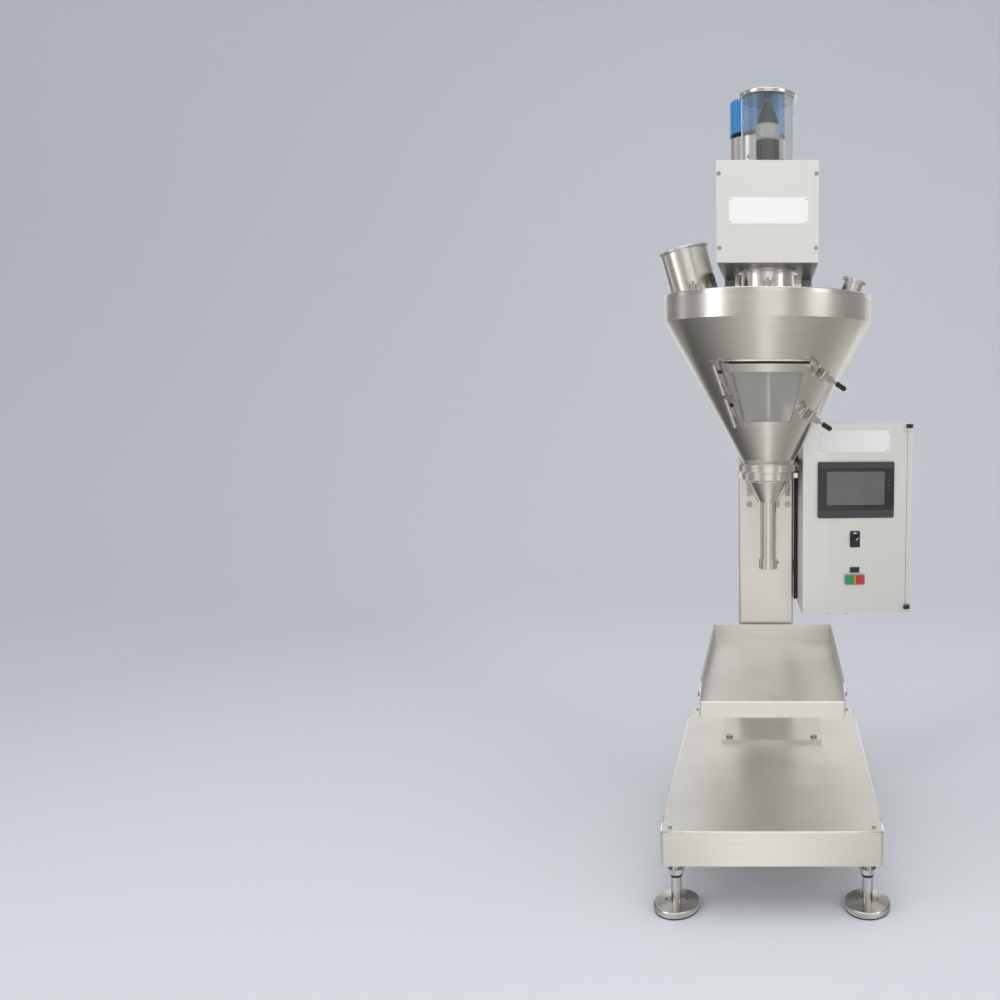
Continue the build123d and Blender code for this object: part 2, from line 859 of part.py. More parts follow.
leaf_half = hinge_length / 2 * cone_cos
with BuildPart() as door_hinge_fixed:
    for z in hinge_heights:
        leaf_z = z + hinge_out * cone_sin
        with BuildSketch(radial_plane(-hinge_angle - leaf_sweep)):
            Polygon(*cone_patch(leaf_z - leaf_half, leaf_z + leaf_half, seat, leaf_thick), align=None)
        revolve(axis=Axis.Z, revolution_arc=leaf_sweep)
        for start in (-hinge_length / 2, hinge_length / 2 - knuckle_cut + gap):
            with BuildSketch(knuckle_plane(z, start)):
                Circle(hinge_knuckle)
                with Locations((-hinge_knuckle / 2, (hinge_out - leaf_thick / 2) / 2)):
                    Rectangle(hinge_knuckle, hinge_out - leaf_thick / 2)
            extrude(amount=knuckle_cut - gap)
        with BuildSketch(knuckle_plane(z, -hinge_length / 2)):
            Circle(hinge_pin + seat)
        extrude(amount=hinge_length, mode=Mode.SUBTRACT)
        with BuildSketch(knuckle_plane(z, -hinge_length / 2)):
            Circle(hinge_pin)
        extrude(amount=hinge_length)
door_hinge_fixed.part.label = "door_hinge_fixed"
export_step(door_hinge_fixed.part, "parts/door_hinge_fixed.step")

with BuildPart() as door_hinge_leaf:
    for z in hinge_heights:
        leaf_z = z + (hinge_out - door_outer) * cone_sin
        leaf_ends = (leaf_z - leaf_half, leaf_z + leaf_half)
        with BuildSketch(radial_plane(-door_half)):
            Polygon(*cone_patch(*leaf_ends, door_outer + seat, door_outer + leaf_thick), align=None)
        revolve(axis=Axis.Z, revolution_arc=door_half - pane_half)
        arm = radians(hinge_angle - door_half + (door_half - pane_half) / 3) * cone_radius(z, door_outer)
        with BuildSketch(knuckle_plane(z, -hinge_length / 2 + knuckle_cut)):
            Circle(hinge_knuckle)
            with Locations((arm / 2, hinge_knuckle - leaf_thick / 2)):
                Rectangle(arm, leaf_thick)
            Circle(hinge_pin + running, mode=Mode.SUBTRACT)
        extrude(amount=knuckle_cut)
door_hinge_leaf.part.label = "door_hinge_leaf"
export_step(door_hinge_leaf.part, "parts/door_hinge_leaf.step")

# Auger: a screw with a helical flight, carried on the spigot of its drive shaft
screw_top = flight_top + screw_beyond
coupling_bottom = box_top - coupling_height - coupling_drop
with BuildPart() as auger:
    with BuildLine() as flight_path:
        helix = Helix(pitch=flight_pitch, height=flight_top - flight_bottom, radius=shaft_radius,
                      center=(0, 0, flight_bottom))
    with BuildSketch(Plane(origin=helix @ 0, z_dir=helix % 0, x_dir=(1, 0, 0))):
        with Locations(((flight_radius - shaft_radius - flight_root) / 2, 0)):
            Rectangle(flight_radius - shaft_radius + flight_root, flight_thick)
    sweep(path=helix, is_frenet=True)
    with BuildSketch(Plane.XY.offset(flight_bottom - shaft_nose)):
        Circle(shaft_radius)
    extrude(amount=screw_top - flight_bottom + shaft_nose)
    with BuildSketch(Plane.XY.offset(screw_top - spigot_length)):
        Circle(spigot_radius + seat)
    extrude(amount=spigot_length, mode=Mode.SUBTRACT)
    with BuildSketch(Plane.XY.offset(screw_top - spigot_length + gap)):
        Circle(spigot_radius)
    extrude(amount=spigot_length - gap + seat)
    with BuildSketch(Plane.XY.offset(screw_top + seat)):
        Circle(shaft_radius)
    extrude(amount=coupling_bottom + coupling_height / 2 - gap - screw_top - seat)
auger.part.label = "auger"
export_step(auger.part, "parts/auger.step")

# Agitator: hollow shaft with two scrapers that follow the cone
scraper_low = cone_bottom + scraper_rise
scraper_high = band_bottom - scraper_drop
sleeve_top = pulley_z + belt_width / 2 + sleeve_beyond
with BuildPart() as agitator:
    with BuildSketch(Plane.XY.offset(sleeve_bottom)):
        Circle(sleeve_radius)
        Circle(shaft_radius + sleeve_room, mode=Mode.SUBTRACT)
    extrude(amount=sleeve_top - sleeve_bottom)
    for side in (-1, 1):
        with BuildSketch(Plane.XZ.offset(-scraper_thick / 2)):
            low_r = cone_radius(scraper_low, -bowl_wall - scraper_gap)
            high_r = cone_radius(scraper_high, -bowl_wall - scraper_gap)
            Polygon(
                (side * low_r, scraper_low),
                (side * high_r, scraper_high),
                (side * (high_r - scraper_width), scraper_high),
                (side * (low_r - scraper_width), scraper_low),
                align=None,
            )
            for z in (scraper_low + spoke_rise, scraper_high - spoke_drop):
                reach = cone_radius(z, -bowl_wall - scraper_gap - scraper_width / 2)
                with Locations((side * (reach + sleeve_radius + seat) / 2, z)):
                    Rectangle(reach - sleeve_radius - seat, spoke_width)
        extrude(amount=scraper_thick)
agitator.part.label = "agitator"
export_step(agitator.part, "parts/agitator.step")

# Neck housing with two bearings for the hollow shaft
bearing_spots = (neck_bottom + bearing_inset, box_bottom - bearing_inset - bearing_height)
with BuildPart() as neck_housing:
    with BuildSketch(Plane.XZ):
        Polygon(
            (bearing_radius, neck_bottom),
            (neck_radius + neck_foot, neck_bottom),
            (neck_radius + neck_foot, neck_bottom + neck_step),
            (neck_radius, neck_bottom + neck_step),
            (neck_radius, box_bottom - neck_foot - neck_taper),
            (neck_flange, box_bottom - neck_foot),
            (neck_flange, box_bottom),
            (bearing_radius, box_bottom),
            align=None,
        )
    revolve(axis=Axis.Z)
neck_housing.part.label = "neck_housing"
export_step(neck_housing.part, "parts/neck_housing.step")

with BuildPart() as shaft_bearings:
    for z in bearing_spots:
        with BuildSketch(Plane.XY.offset(z)):
            Circle(bearing_radius - seat)
            Circle(sleeve_radius + running, mode=Mode.SUBTRACT)
        extrude(amount=bearing_height)
shaft_bearings.part.label = "shaft_bearings"
export_step(shaft_bearings.part, "parts/shaft_bearings.step")

# Drive box: a shell open in front, with passages for the shafts
front_thick = sheet
shell_front = box_front + front_thick
with BuildPart() as drive_box:
    with BuildSketch(Plane.XY.offset(box_bottom)):
        with Locations((0, (shell_front + box_back) / 2)):
            Rectangle(box_width, box_back - shell_front)
    extrude(amount=box_height)
    with BuildSketch(Plane.XZ.offset(-shell_front)):
        with Locations((0, box_bottom + box_height / 2)):
            Rectangle(box_width - 2 * box_wall, box_height - 2 * box_wall)
    extrude(amount=-(box_back - shell_front - box_wall), mode=Mode.SUBTRACT)
    with BuildSketch(Plane.XY.offset(box_bottom)):
        Circle(sleeve_radius + passage)
    extrude(amount=box_wall, mode=Mode.SUBTRACT)
    with BuildSketch(Plane.XY.offset(box_top - box_wall)):
        Circle(shaft_radius + shaft_passage)
        with Locations((stirrer_x, stirrer_y)):
            Circle(shaft_radius + shaft_passage)
    extrude(amount=box_wall, mode=Mode.SUBTRACT)
drive_box.part.label = "drive_box"
export_step(drive_box.part, "parts/drive_box.step")

with BuildPart() as drive_box_cover:
    with BuildSketch(Plane.XZ.offset(-shell_front)):
        with Locations((0, box_bottom + box_height / 2)):
            RectangleRounded(box_width, box_height, cover_corner)
    extrude(amount=front_thick)
drive_box_cover.part.label = "drive_box_cover"
export_step(drive_box_cover.part, "parts/drive_box_cover.step")

cover_screw_x = box_width / 2 - screw_inset
base_screw_x = base_width / 2 - pan_screw_side
with BuildPart() as cover_screws:
    with BuildSketch(Plane.XZ.offset(-box_front)):
        for z in (box_bottom + screw_rise, box_top - screw_drop):
            with Locations((-cover_screw_x, z), (cover_screw_x, z)):
                Circle(screw_radius)
    extrude(amount=screw_head)
    with BuildSketch(Plane.XY.offset(base_top)):
        for y in (base_front + pan_screw_front, base_back - pan_screw_back):
            with Locations((base_x - base_screw_x, y), (base_x + base_screw_x, y)):
                Circle(pan_screw_radius)
    extrude(amount=screw_head)
    for side in (-1, 1):
        with BuildSketch(Plane.YZ.offset(tray_x + side * (tray_width / 2 + side_thick))):
            for y in (tray_front + side_bolt_setback, tray_back - 3 * side_bolt_setback):
                with Locations((y, tray_floor + side_bolt_rise)):
                    Circle(side_bolt_radius)
        extrude(amount=side * side_thick)
cover_screws.part.label = "cover_screws"
export_step(cover_screws.part, "parts/cover_screws.step")

# Auger motor under the clear guard, its coupling inside the box
ring_bottom = box_top + servo_height
boot_bottom = ring_bottom + servo_ring_height
with BuildPart() as servo_motor:
    with BuildSketch(Plane.XY.offset(box_top)):
        Circle(servo_radius - rib_depth / 2)
        with PolarLocations(servo_radius - rib_depth / 2, servo_ribs):
            Rectangle(rib_depth, rib_width)
    extrude(amount=servo_height)
    with BuildSketch(Plane.XY.offset(box_top)):
        Circle(shaft_radius + running)
    extrude(amount=shaft_entry + gap, mode=Mode.SUBTRACT)
    with BuildSketch(Plane.XZ):
        Polygon(
            (0, ring_bottom),
            (servo_radius - ring_edge, ring_bottom),
            (servo_radius, ring_bottom + ring_edge),
            (servo_radius, boot_bottom - ring_edge),
            (servo_radius - ring_edge, boot_bottom),
            (servo_radius - boot_waist, boot_bottom + boot_shoulder),
            (boot_neck, boot_bottom + boot_height - boot_nose),
            (boot_tip, boot_bottom + boot_height),
            (0, boot_bottom + boot_height),
            align=None,
        )
    revolve(axis=Axis.Z)
servo_motor.part.label = "servo_motor"
export_step(servo_motor.part, "parts/servo_motor.step")

with BuildPart() as shaft_coupling:
    with BuildSketch(Plane.XY.offset(coupling_bottom)):
        Circle(coupling_radius)
        Circle(shaft_radius + seat, mode=Mode.SUBTRACT)
    extrude(amount=coupling_height)
    with BuildSketch(Plane.XY.offset(coupling_bottom + coupling_height / 2)):
        Circle(shaft_radius)
    extrude(amount=box_top + shaft_entry - coupling_bottom - coupling_height / 2)
shaft_coupling.part.label = "shaft_coupling"
export_step(shaft_coupling.part, "parts/shaft_coupling.step")

with BuildPart() as guard_tube:
    with BuildSketch(Plane.XY.offset(box_top)):
        Circle(guard_radius)
        Circle(guard_radius - guard_wall, mode=Mode.SUBTRACT)
    extrude(amount=guard_height)
guard_tube.part.label = "guard_tube"
export_step(guard_tube.part, "parts/guard_tube.step")

with BuildPart() as guard_cap:
    with BuildSketch(Plane.XY.offset(guard_top)):
        Circle(cap_radius)
    extrude(amount=cap_height)
    fillet(guard_cap.edges().filter_by(GeomType.CIRCLE), cap_round)
guard_cap.part.label = "guard_cap"
export_step(guard_cap.part, "parts/guard_cap.step")

# Agitator motor behind the guard: steel sleeve, dark joint, blue cap, and its shaft down to the pulley
stirrer_spot = (stirrer_x, stirrer_y)
joint_bottom = box_top + sleeve_height
with BuildPart() as stirrer_motor:
    with BuildSketch(Plane.XY.offset(box_top)):
        with Locations(stirrer_spot):
            Circle(stirrer_radius)
    extrude(amount=sleeve_height)
    with BuildSketch(Plane.XY.offset(joint_bottom)):
        with Locations(stirrer_spot):
            Circle(stirrer_radius - joint_inset)
    extrude(amount=joint_height)
stirrer_motor.part.label = "stirrer_motor"
export_step(stirrer_motor.part, "parts/stirrer_motor.step")

with BuildPart() as stirrer_cap:
    with BuildSketch(Plane.XY.offset(joint_bottom + joint_height)):
        with Locations(stirrer_spot):
            Circle(stirrer_radius)
    extrude(amount=blue_height)
    fillet(stirrer_cap.edges().group_by(Axis.Z)[-1], blue_round)
stirrer_cap.part.label = "stirrer_cap"
export_step(stirrer_cap.part, "parts/stirrer_cap.step")

# Belt drive of the agitator inside the box
with BuildPart() as motor_pulley:
    with BuildSketch(Plane.XY.offset(pulley_z - belt_width / 2 - pulley_cheek)):
        with Locations(stirrer_spot):
            Circle(pulley_small)
    extrude(amount=belt_width + 2 * pulley_cheek)
    with BuildSketch(Plane.XY.offset(pulley_z + belt_width / 2 + pulley_cheek)):
        with Locations(stirrer_spot):
            Circle(shaft_radius)
    extrude(amount=box_top - gap - pulley_z - belt_width / 2 - pulley_cheek)
motor_pulley.part.label = "motor_pulley"
export_step(motor_pulley.part, "parts/motor_pulley.step")

with BuildPart() as agitator_pulley:
    with BuildSketch(Plane.XY.offset(pulley_z - belt_width / 2)):
        Circle(pulley_big)
        Circle(sleeve_radius + seat, mode=Mode.SUBTRACT)
    extrude(amount=belt_width)
agitator_pulley.part.label = "agitator_pulley"
export_step(agitator_pulley.part, "parts/agitator_pulley.step")

with BuildPart() as drive_belt:
    for skin_out, mode in ((belt_thick, Mode.ADD), (0.0, Mode.SUBTRACT)):
        with BuildSketch(Plane.XY.offset(pulley_z - belt_width / 2)):
            with BuildLine():
                CenterArc((0, 0), pulley_big + gap + skin_out, 0, 360)
                CenterArc(stirrer_spot, pulley_small + gap + skin_out, 0, 360)
            make_hull()
        extrude(amount=belt_width, mode=mode)
drive_belt.part.label = "drive_belt"
export_step(drive_belt.part, "parts/drive_belt.step")

# Toggle latches beside the door: bases on the cone, keepers on the door, a lever and a wire bail each
pivot_out = door_outer + latch_stand + pivot_rise
ear_outer = ear_half + ear_thick
keeper_span = keeper_reach * cos(radians(latch_tilt))


def latch_plane(z):
    """Plane through one latch's pivot: x along its lever, y across it, z outwards."""
    plane = cone_plane(door_half + degrees(latch_beyond / cone_radius(z, door_outer)), z, pivot_out)
    tilt = radians(latch_tilt)
    along = plane.x_dir * cos(tilt) - plane.y_dir * sin(tilt)
    return Plane(origin=plane.origin, x_dir=along, z_dir=plane.z_dir)


def latch_section(z, along):
    """Plane square to one latch's pivot: x along the lever, y into the cone."""
    plane = latch_plane(z)
    return Plane(origin=plane.origin, x_dir=plane.x_dir, z_dir=plane.y_dir).offset(along)


def grip_plane(z):
    """Plane square to one lever at the foot of its grip."""
    plane = latch_plane(z)
    return Plane(
        origin=plane.from_local_coords((lever_length, 0, lever_rise)),
        x_dir=plane.y_dir,
        z_dir=plane.x_dir,
    )


with BuildPart() as latch_bases:
    for z in latch_heights.values():
        with BuildSketch(latch_plane(z).offset(latch_seat - pivot_out)):
            Rectangle(base_length, 2 * ear_outer)
        extrude(amount=pivot_out - pivot_rise - ear_drop)
        for start in (-ear_outer, ear_half):
            with BuildSketch(latch_section(z, start)):
                with Locations((0, (pivot_rise + ear_drop) / 2)):
                    Rectangle(2 * ear_drop, pivot_rise + ear_drop)
                Circle(ear_drop)
                Circle(latch_pin + running, mode=Mode.SUBTRACT)
            extrude(amount=ear_thick)
latch_bases.part.label = "latch_bases"
export_step(latch_bases.part, "parts/latch_bases.step")

# Keepers on the door: a foot that follows the door and a hook beyond the bail's end
with BuildPart() as latch_keepers:
    for z in latch_heights.values():
        fall = keeper_span ** 2 / 2 / cone_radius(z, door_outer) * cone_cos
        root = pivot_out - door_outer - leaf_thick / 2 + fall
        foot = latch_plane(z).from_local_coords((-keeper_reach, 0, -root))
        foot_angle = degrees(atan2(foot.X, -foot.Y))
        foot_half = degrees(keeper_foot / 2 / cone_radius(foot.Z, door_outer))
        foot_rise = keeper_width / 2 * cone_cos
        foot_ends = (foot.Z - foot_rise, foot.Z + foot_rise)
        with BuildSketch(radial_plane(foot_angle - foot_half)):
            Polygon(*cone_patch(*foot_ends, door_outer + seat, door_outer + leaf_thick), align=None)
        revolve(axis=Axis.Z, revolution_arc=2 * foot_half)
        with BuildSketch(latch_section(z, -keeper_width / 2)):
            with Locations((-keeper_reach, (root - bail_wire) / 2)):
                Rectangle(keeper_thick, root + bail_wire)
        extrude(amount=keeper_width)
latch_keepers.part.label = "latch_keepers"
export_step(latch_keepers.part, "parts/latch_keepers.step")

for name, z in latch_heights.items():
    with BuildPart() as latch_lever:
        with BuildSketch(latch_section(z, -ear_half + gap)):
            with Locations((bail_pivot / 2, 0)):
                SlotCenterToCenter(bail_pivot, lever_head)
            with Locations(((bail_pivot + lever_plate) / 2, -lever_rise)):
                Rectangle(lever_plate - bail_pivot, lever_thick)
            with Locations((bail_pivot, 0)):
                Circle(bail_wire + running, mode=Mode.SUBTRACT)
        extrude(amount=2 * ear_half - 2 * gap)
        with BuildSketch(latch_section(z, -lever_bar / 2)):
            with Locations(((lever_plate + lever_length) / 2, -lever_rise)):
                Rectangle(lever_length - lever_plate, lever_thick)
        extrude(amount=lever_bar)
        with BuildSketch(grip_plane(z)):
            Circle(grip_radius)
        extrude(amount=grip_length - grip_round)
        with BuildSketch(grip_plane(z).offset(grip_length - grip_round)):
            Circle(grip_radius)
        extrude(amount=grip_round, taper=grip_taper)
        with BuildSketch(latch_section(z, -ear_half - ear_thick)):
            Circle(latch_pin)
        extrude(amount=2 * ear_half + 2 * ear_thick)
    latch_lever.part.label = f"latch_lever_{name}"
    export_step(latch_lever.part, f"parts/latch_lever_{name}.step")

    with BuildPart() as latch_bail:
        with BuildSketch(latch_section(z, -bail_half)):
            with Locations((bail_pivot, 0)):
                Circle(bail_wire)
        extrude(amount=2 * bail_half)
        for start in (-bail_half - bail_wire, bail_half - bail_wire):
            with BuildSketch(latch_section(z, start)):
                with Locations(((bail_pivot - bail_reach) / 2, 0)):
                    RectangleRounded(bail_pivot + bail_reach + 2 * bail_wire, 2 * bail_wire, bail_wire - 0.1)
            extrude(amount=2 * bail_wire)
        with BuildSketch(latch_section(z, -bail_half)):
            with Locations((-bail_reach, 0)):
                Circle(bail_wire)
        extrude(amount=2 * bail_half)
    latch_bail.part.label = f"latch_bail_{name}"
    export_step(latch_bail.part, f"parts/latch_bail_{name}.step")

# Control enclosure: a folded body with a hinge strip, open in front
body_front = door_pan + gap
with BuildPart() as enclosure_body:
    with BuildSketch(enclosure_plane(body_width / 2, (body_front + enclosure_depth) / 2, enclosure_bottom)):
        Rectangle(body_width, enclosure_depth - body_front)
    extrude(amount=enclosure_height)
    with BuildSketch(front_plane(body_width / 2, body_front, enclosure_bottom + enclosure_height / 2)):
        Rectangle(body_width - 2 * skin, enclosure_height - 2 * skin)
    extrude(amount=-(enclosure_depth - body_front - skin), mode=Mode.SUBTRACT)
    strip_u = body_width - strip_width / 2
    with BuildSketch(enclosure_plane(strip_u, (strip_front + body_front) / 2, enclosure_bottom)):
        Rectangle(strip_width, body_front - strip_front)
    extrude(amount=enclosure_height)
enclosure_body.part.label = "enclosure_body"
export_step(enclosure_body.part, "parts/enclosure_body.step")

with BuildPart() as enclosure_door:
    with BuildSketch(enclosure_plane(door_width / 2, door_pan / 2, enclosure_bottom)):
        Rectangle(door_width, door_pan)
    extrude(amount=enclosure_height)
    with BuildSketch(front_plane(door_width / 2, door_pan, enclosure_bottom + enclosure_height / 2)):
        Rectangle(door_width - 2 * skin, enclosure_height - 2 * skin)
    extrude(amount=door_pan - skin, mode=Mode.SUBTRACT)
    for z in hinge_levels:
        with BuildSketch(enclosure_plane(hinge_u, hinge_v, z - hinge_half)):
            Circle(hinge_barrel)
            with Locations((-hinge_lug / 2, (skin - hinge_v) / 2)):
                Rectangle(hinge_lug - 2 * panel_gap, skin - hinge_v)
            with Locations((-hinge_lug / 4, 0)):
                Rectangle(hinge_lug / 2, hinge_barrel)
            Circle(hinge_rod + running, mode=Mode.SUBTRACT)
        extrude(amount=hinge_half - gap)
enclosure_door.part.label = "enclosure_door"
export_step(enclosure_door.part, "parts/enclosure_door.step")

with BuildPart() as enclosure_hinges:
    for z in hinge_levels:
        with BuildSketch(enclosure_plane(hinge_u, hinge_v, z)):
            Circle(hinge_barrel)
            with Locations((hinge_lug / 2, 0)):
                Rectangle(hinge_lug, hinge_barrel)
            with Locations((hinge_lug - hinge_foot / 2, (strip_front - hinge_v) / 2)):
                Rectangle(hinge_foot, strip_front - hinge_v)
        extrude(amount=hinge_half)
        with BuildSketch(enclosure_plane(hinge_u, hinge_v, z - hinge_half)):
            Circle(hinge_rod)
        extrude(amount=hinge_half)
enclosure_hinges.part.label = "enclosure_hinges"
export_step(enclosure_hinges.part, "parts/enclosure_hinges.step")

# Carrier bracket from the column's right side to the back of the enclosure
bracket_front = enclosure_y + enclosure_depth * yaw_cos + 2 * bracket_relief
bracket_back = column_front + column_depth - bracket_relief
with BuildPart() as enclosure_bracket:
    bar_v = enclosure_depth + bracket_depth / 2
    for z in bracket_levels:
        with BuildSketch(enclosure_plane(bracket_span / 2 + bracket_inset, bar_v, z)):
            Rectangle(bracket_span, bracket_depth)
        extrude(amount=bracket_height)
        with BuildSketch(Plane.XY.offset(z)):
            with Locations((column_x + column_width / 2 + bracket_depth, (bracket_front + bracket_back) / 2)):
                Rectangle(2 * bracket_depth, bracket_back - bracket_front)
        extrude(amount=bracket_height)
enclosure_bracket.part.label = "enclosure_bracket"
export_step(enclosure_bracket.part, "parts/enclosure_bracket.step")

# Inside: a mounting panel on spacers with plain control modules
with BuildPart() as mounting_panel:
    back_face = enclosure_depth - skin
    middle = enclosure_bottom + enclosure_height / 2
    with BuildSketch(front_plane(body_width / 2, back_face - spacer_length, middle)):
        Rectangle(panel_width, panel_height)
    extrude(amount=skin)
    with BuildSketch(front_plane(body_width / 2, back_face, middle)):
        with GridLocations(panel_width - 2 * spacer_inset, panel_height - 2 * spacer_inset, 2, 2):
            Circle(spacer_radius)
    extrude(amount=spacer_length)
    with BuildSketch(front_plane(body_width / 2, back_face - spacer_length - skin, middle)):
        with Locations((-driver_u, driver_z), (driver_u, driver_z)):
            RectangleRounded(driver_width, driver_height, module_corner)
        with Locations((0, supply_z)):
            RectangleRounded(rail_width, supply_height, module_corner)
        with Locations((0, strip_z)):
            RectangleRounded(rail_width, strip_height, module_corner)
    extrude(amount=module_depth)
mounting_panel.part.label = "mounting_panel"
export_step(mounting_panel.part, "parts/mounting_panel.step")

with BuildPart() as cable_glands:
    for u in gland_stations:
        with BuildSketch(enclosure_plane(u, enclosure_depth / 2, enclosure_bottom)):
            RegularPolygon(gland_radius + gland_nut, 6)
        extrude(amount=-gland_length / 3)
        with BuildSketch(enclosure_plane(u, enclosure_depth / 2, enclosure_bottom)):
            Circle(gland_radius)
        extrude(amount=-gland_length)
cable_glands.part.label = "cable_glands"
export_step(cable_glands.part, "parts/cable_glands.step")

# Touch panel: bezel with a recess for the screen
screen_u = bezel_u + screen_shift_u
screen_z = bezel_z + screen_shift_z
with BuildPart() as touch_panel:
    with BuildSketch(front_plane(bezel_u, 0, bezel_z)):
        RectangleRounded(bezel_width, bezel_height, bezel_corner)
    extrude(amount=bezel_thick)
    fillet(touch_panel.faces().sort_by(Axis.Y)[0].edges(), bezel_round)
    with BuildSketch(front_plane(screen_u, -bezel_thick, screen_z)):
        RectangleRounded(screen_width, screen_height, screen_corner)
    extrude(amount=-screen_recess - screen_thick, mode=Mode.SUBTRACT)
touch_panel.part.label = "touch_panel"
export_step(touch_panel.part, "parts/touch_panel.step")

with BuildPart() as panel_screen:
    with BuildSketch(front_plane(screen_u, screen_recess - bezel_thick, screen_z)):
        RectangleRounded(screen_width, screen_height, screen_corner)
    extrude(amount=-screen_thick)
panel_screen.part.label = "panel_screen"
export_step(panel_screen.part, "parts/panel_screen.step")

# Selector plate, legend plate and the double button's frame
button_u = (button_width + button_bar) / 2
with BuildPart() as control_plates:
    with BuildSketch(front_plane(control_u, 0, selector_z)):
        RectangleRounded(selector_width, selector_height, plate_corner)
    extrude(amount=plate_skin)
    with BuildSketch(front_plane(control_u, 0, legend_z)):
        RectangleRounded(legend_width, legend_height, legend_corner)
    extrude(amount=plate_skin / 2)
    with BuildSketch(front_plane(control_u, 0, buttons_z)):
        RectangleRounded(buttons_width, buttons_height, frame_corner)
        well = button_width + 2 * gap
        with Locations((-button_u, 0), (button_u, 0)):
            RectangleRounded(well, well, button_corner, mode=Mode.SUBTRACT)
    extrude(amount=buttons_thick)
control_plates.part.label = "control_plates"
export_step(control_plates.part, "parts/control_plates.step")

with BuildPart() as selector_knob:
    with BuildSketch(front_plane(control_u, -plate_skin - gap, selector_z)):
        Circle(knob_radius)
    extrude(amount=knob_height / 3)
    with BuildSketch(front_plane(control_u, -plate_skin - gap, selector_z)):
        SlotOverall(2 * (knob_radius - knob_ease), knob_grip, rotation=knob_turn)
    extrude(amount=knob_height)
selector_knob.part.label = "selector_knob"
export_step(selector_knob.part, "parts/selector_knob.step")

for name, side in (("start", -1), ("stop", 1)):
    with BuildPart() as button:
        with BuildSketch(front_plane(control_u + side * button_u, -button_travel - gap, buttons_z)):
            RectangleRounded(button_width, button_width, button_corner)
        extrude(amount=buttons_thick - button_travel + button_proud)
    button.part.label = f"{name}_button"
    export_step(button.part, f"parts/{name}_button.step")
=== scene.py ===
import bpy
import bmesh
import math
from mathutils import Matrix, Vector


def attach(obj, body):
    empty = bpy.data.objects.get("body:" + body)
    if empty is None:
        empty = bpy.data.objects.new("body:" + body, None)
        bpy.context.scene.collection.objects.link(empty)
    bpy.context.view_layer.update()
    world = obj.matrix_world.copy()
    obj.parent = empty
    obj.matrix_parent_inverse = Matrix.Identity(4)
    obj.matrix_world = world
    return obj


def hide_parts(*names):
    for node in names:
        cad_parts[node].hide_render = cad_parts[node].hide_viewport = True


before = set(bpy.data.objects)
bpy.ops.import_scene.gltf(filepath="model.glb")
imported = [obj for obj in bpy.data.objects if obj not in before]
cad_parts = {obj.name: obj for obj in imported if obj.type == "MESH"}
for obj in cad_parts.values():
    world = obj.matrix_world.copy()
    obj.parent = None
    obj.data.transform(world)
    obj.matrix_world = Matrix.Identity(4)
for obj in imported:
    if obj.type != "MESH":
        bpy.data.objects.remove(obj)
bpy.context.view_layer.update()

# Ways, and places that several pieces share, in metres
RIGHT = Vector((1.0, 0.0, 0.0))
FRONT = Vector((0.0, -1.0, 0.0))
UP = Vector((0.0, 0.0, 1.0))
FULL_TURN = 2.0 * math.pi
DRIVE_BOX_FRONT = -0.130
BASE_X = 0.010
BASE_TOP = 0.212
FOOT_X = 0.217
FOOT_FRONT = -0.316
FOOT_BACK = 0.331
ENCLOSURE_CORNER = Vector((0.092, 0.125, 0.0))
ENCLOSURE_YAW = math.radians(4.0)
DOOR_RIGHT = Vector((math.cos(ENCLOSURE_YAW), math.sin(ENCLOSURE_YAW), 0.0))
DOOR_OUT = Vector((math.sin(ENCLOSURE_YAW), -math.cos(ENCLOSURE_YAW), 0.0))

# The ways to the right, up and out, for what lies on a face
MACHINE_FACE = (RIGHT, UP, FRONT)
DOOR_FACE = (DOOR_RIGHT, UP, DOOR_OUT)


def on_door(u, out, z):
    """A place on the enclosure's door: across it, out from its face, and up."""
    return ENCLOSURE_CORNER + DOOR_RIGHT * u + DOOR_OUT * out + UP * z


def from_front(angle):
    """The level way out from an upright axis, at an angle from the front in degrees."""
    turn = math.radians(angle)
    return Vector((math.sin(turn), -math.cos(turn), 0.0))


def new_object(name, data):
    """Puts a mesh, a light or a camera in the scene."""
    holder = bpy.data.objects.new(name, data)
    bpy.context.scene.collection.objects.link(holder)
    return holder


# Nodes that the finishes share

def new_finish(name, metallic, roughness):
    finish = bpy.data.materials.new(name)
    finish.use_nodes = True
    shader = finish.node_tree.nodes["Principled BSDF"]
    shader.inputs["Metallic"].default_value = metallic
    shader.inputs["Roughness"].default_value = roughness
    return finish, finish.node_tree, shader


def object_place(tree):
    return tree.nodes.new("ShaderNodeTexCoord").outputs["Object"]


def split_axes(tree, place):
    """The X, Y and Z of a place, each as an output."""
    split = tree.nodes.new("ShaderNodeSeparateXYZ")
    tree.links.new(place, split.inputs[0])
    return split.outputs


def work_out(tree, operation, first, second=0.0):
    """A sum of two values, each a number or another node's output."""
    node = tree.nodes.new("ShaderNodeMath")
    node.operation = operation
    for socket, value in zip(node.inputs, (first, second)):
        if isinstance(value, float):
            socket.default_value = value
        else:
            tree.links.new(value, socket)
    return node.outputs[0]


def rescale(tree, value, old, new=(0.0, 1.0)):
    """Takes a value from its old range to a new one, and holds it at the ends."""
    node = tree.nodes.new("ShaderNodeMapRange")
    for socket, limit in zip(("From Min", "From Max", "To Min", "To Max"), (*old, *new)):
        node.inputs[socket].default_value = limit
    tree.links.new(value, node.inputs["Value"])
    return node.outputs["Result"]


def round_the_axis(tree, place):
    """Turns places into angle and height, so that a grain runs round the hopper's axis."""
    axes = split_axes(tree, place)
    join = tree.nodes.new("ShaderNodeCombineXYZ")
    tree.links.new(work_out(tree, "ARCTAN2", axes["X"], axes["Y"]), join.inputs["X"])
    tree.links.new(axes["Z"], join.inputs["Z"])
    return join.outputs[0]


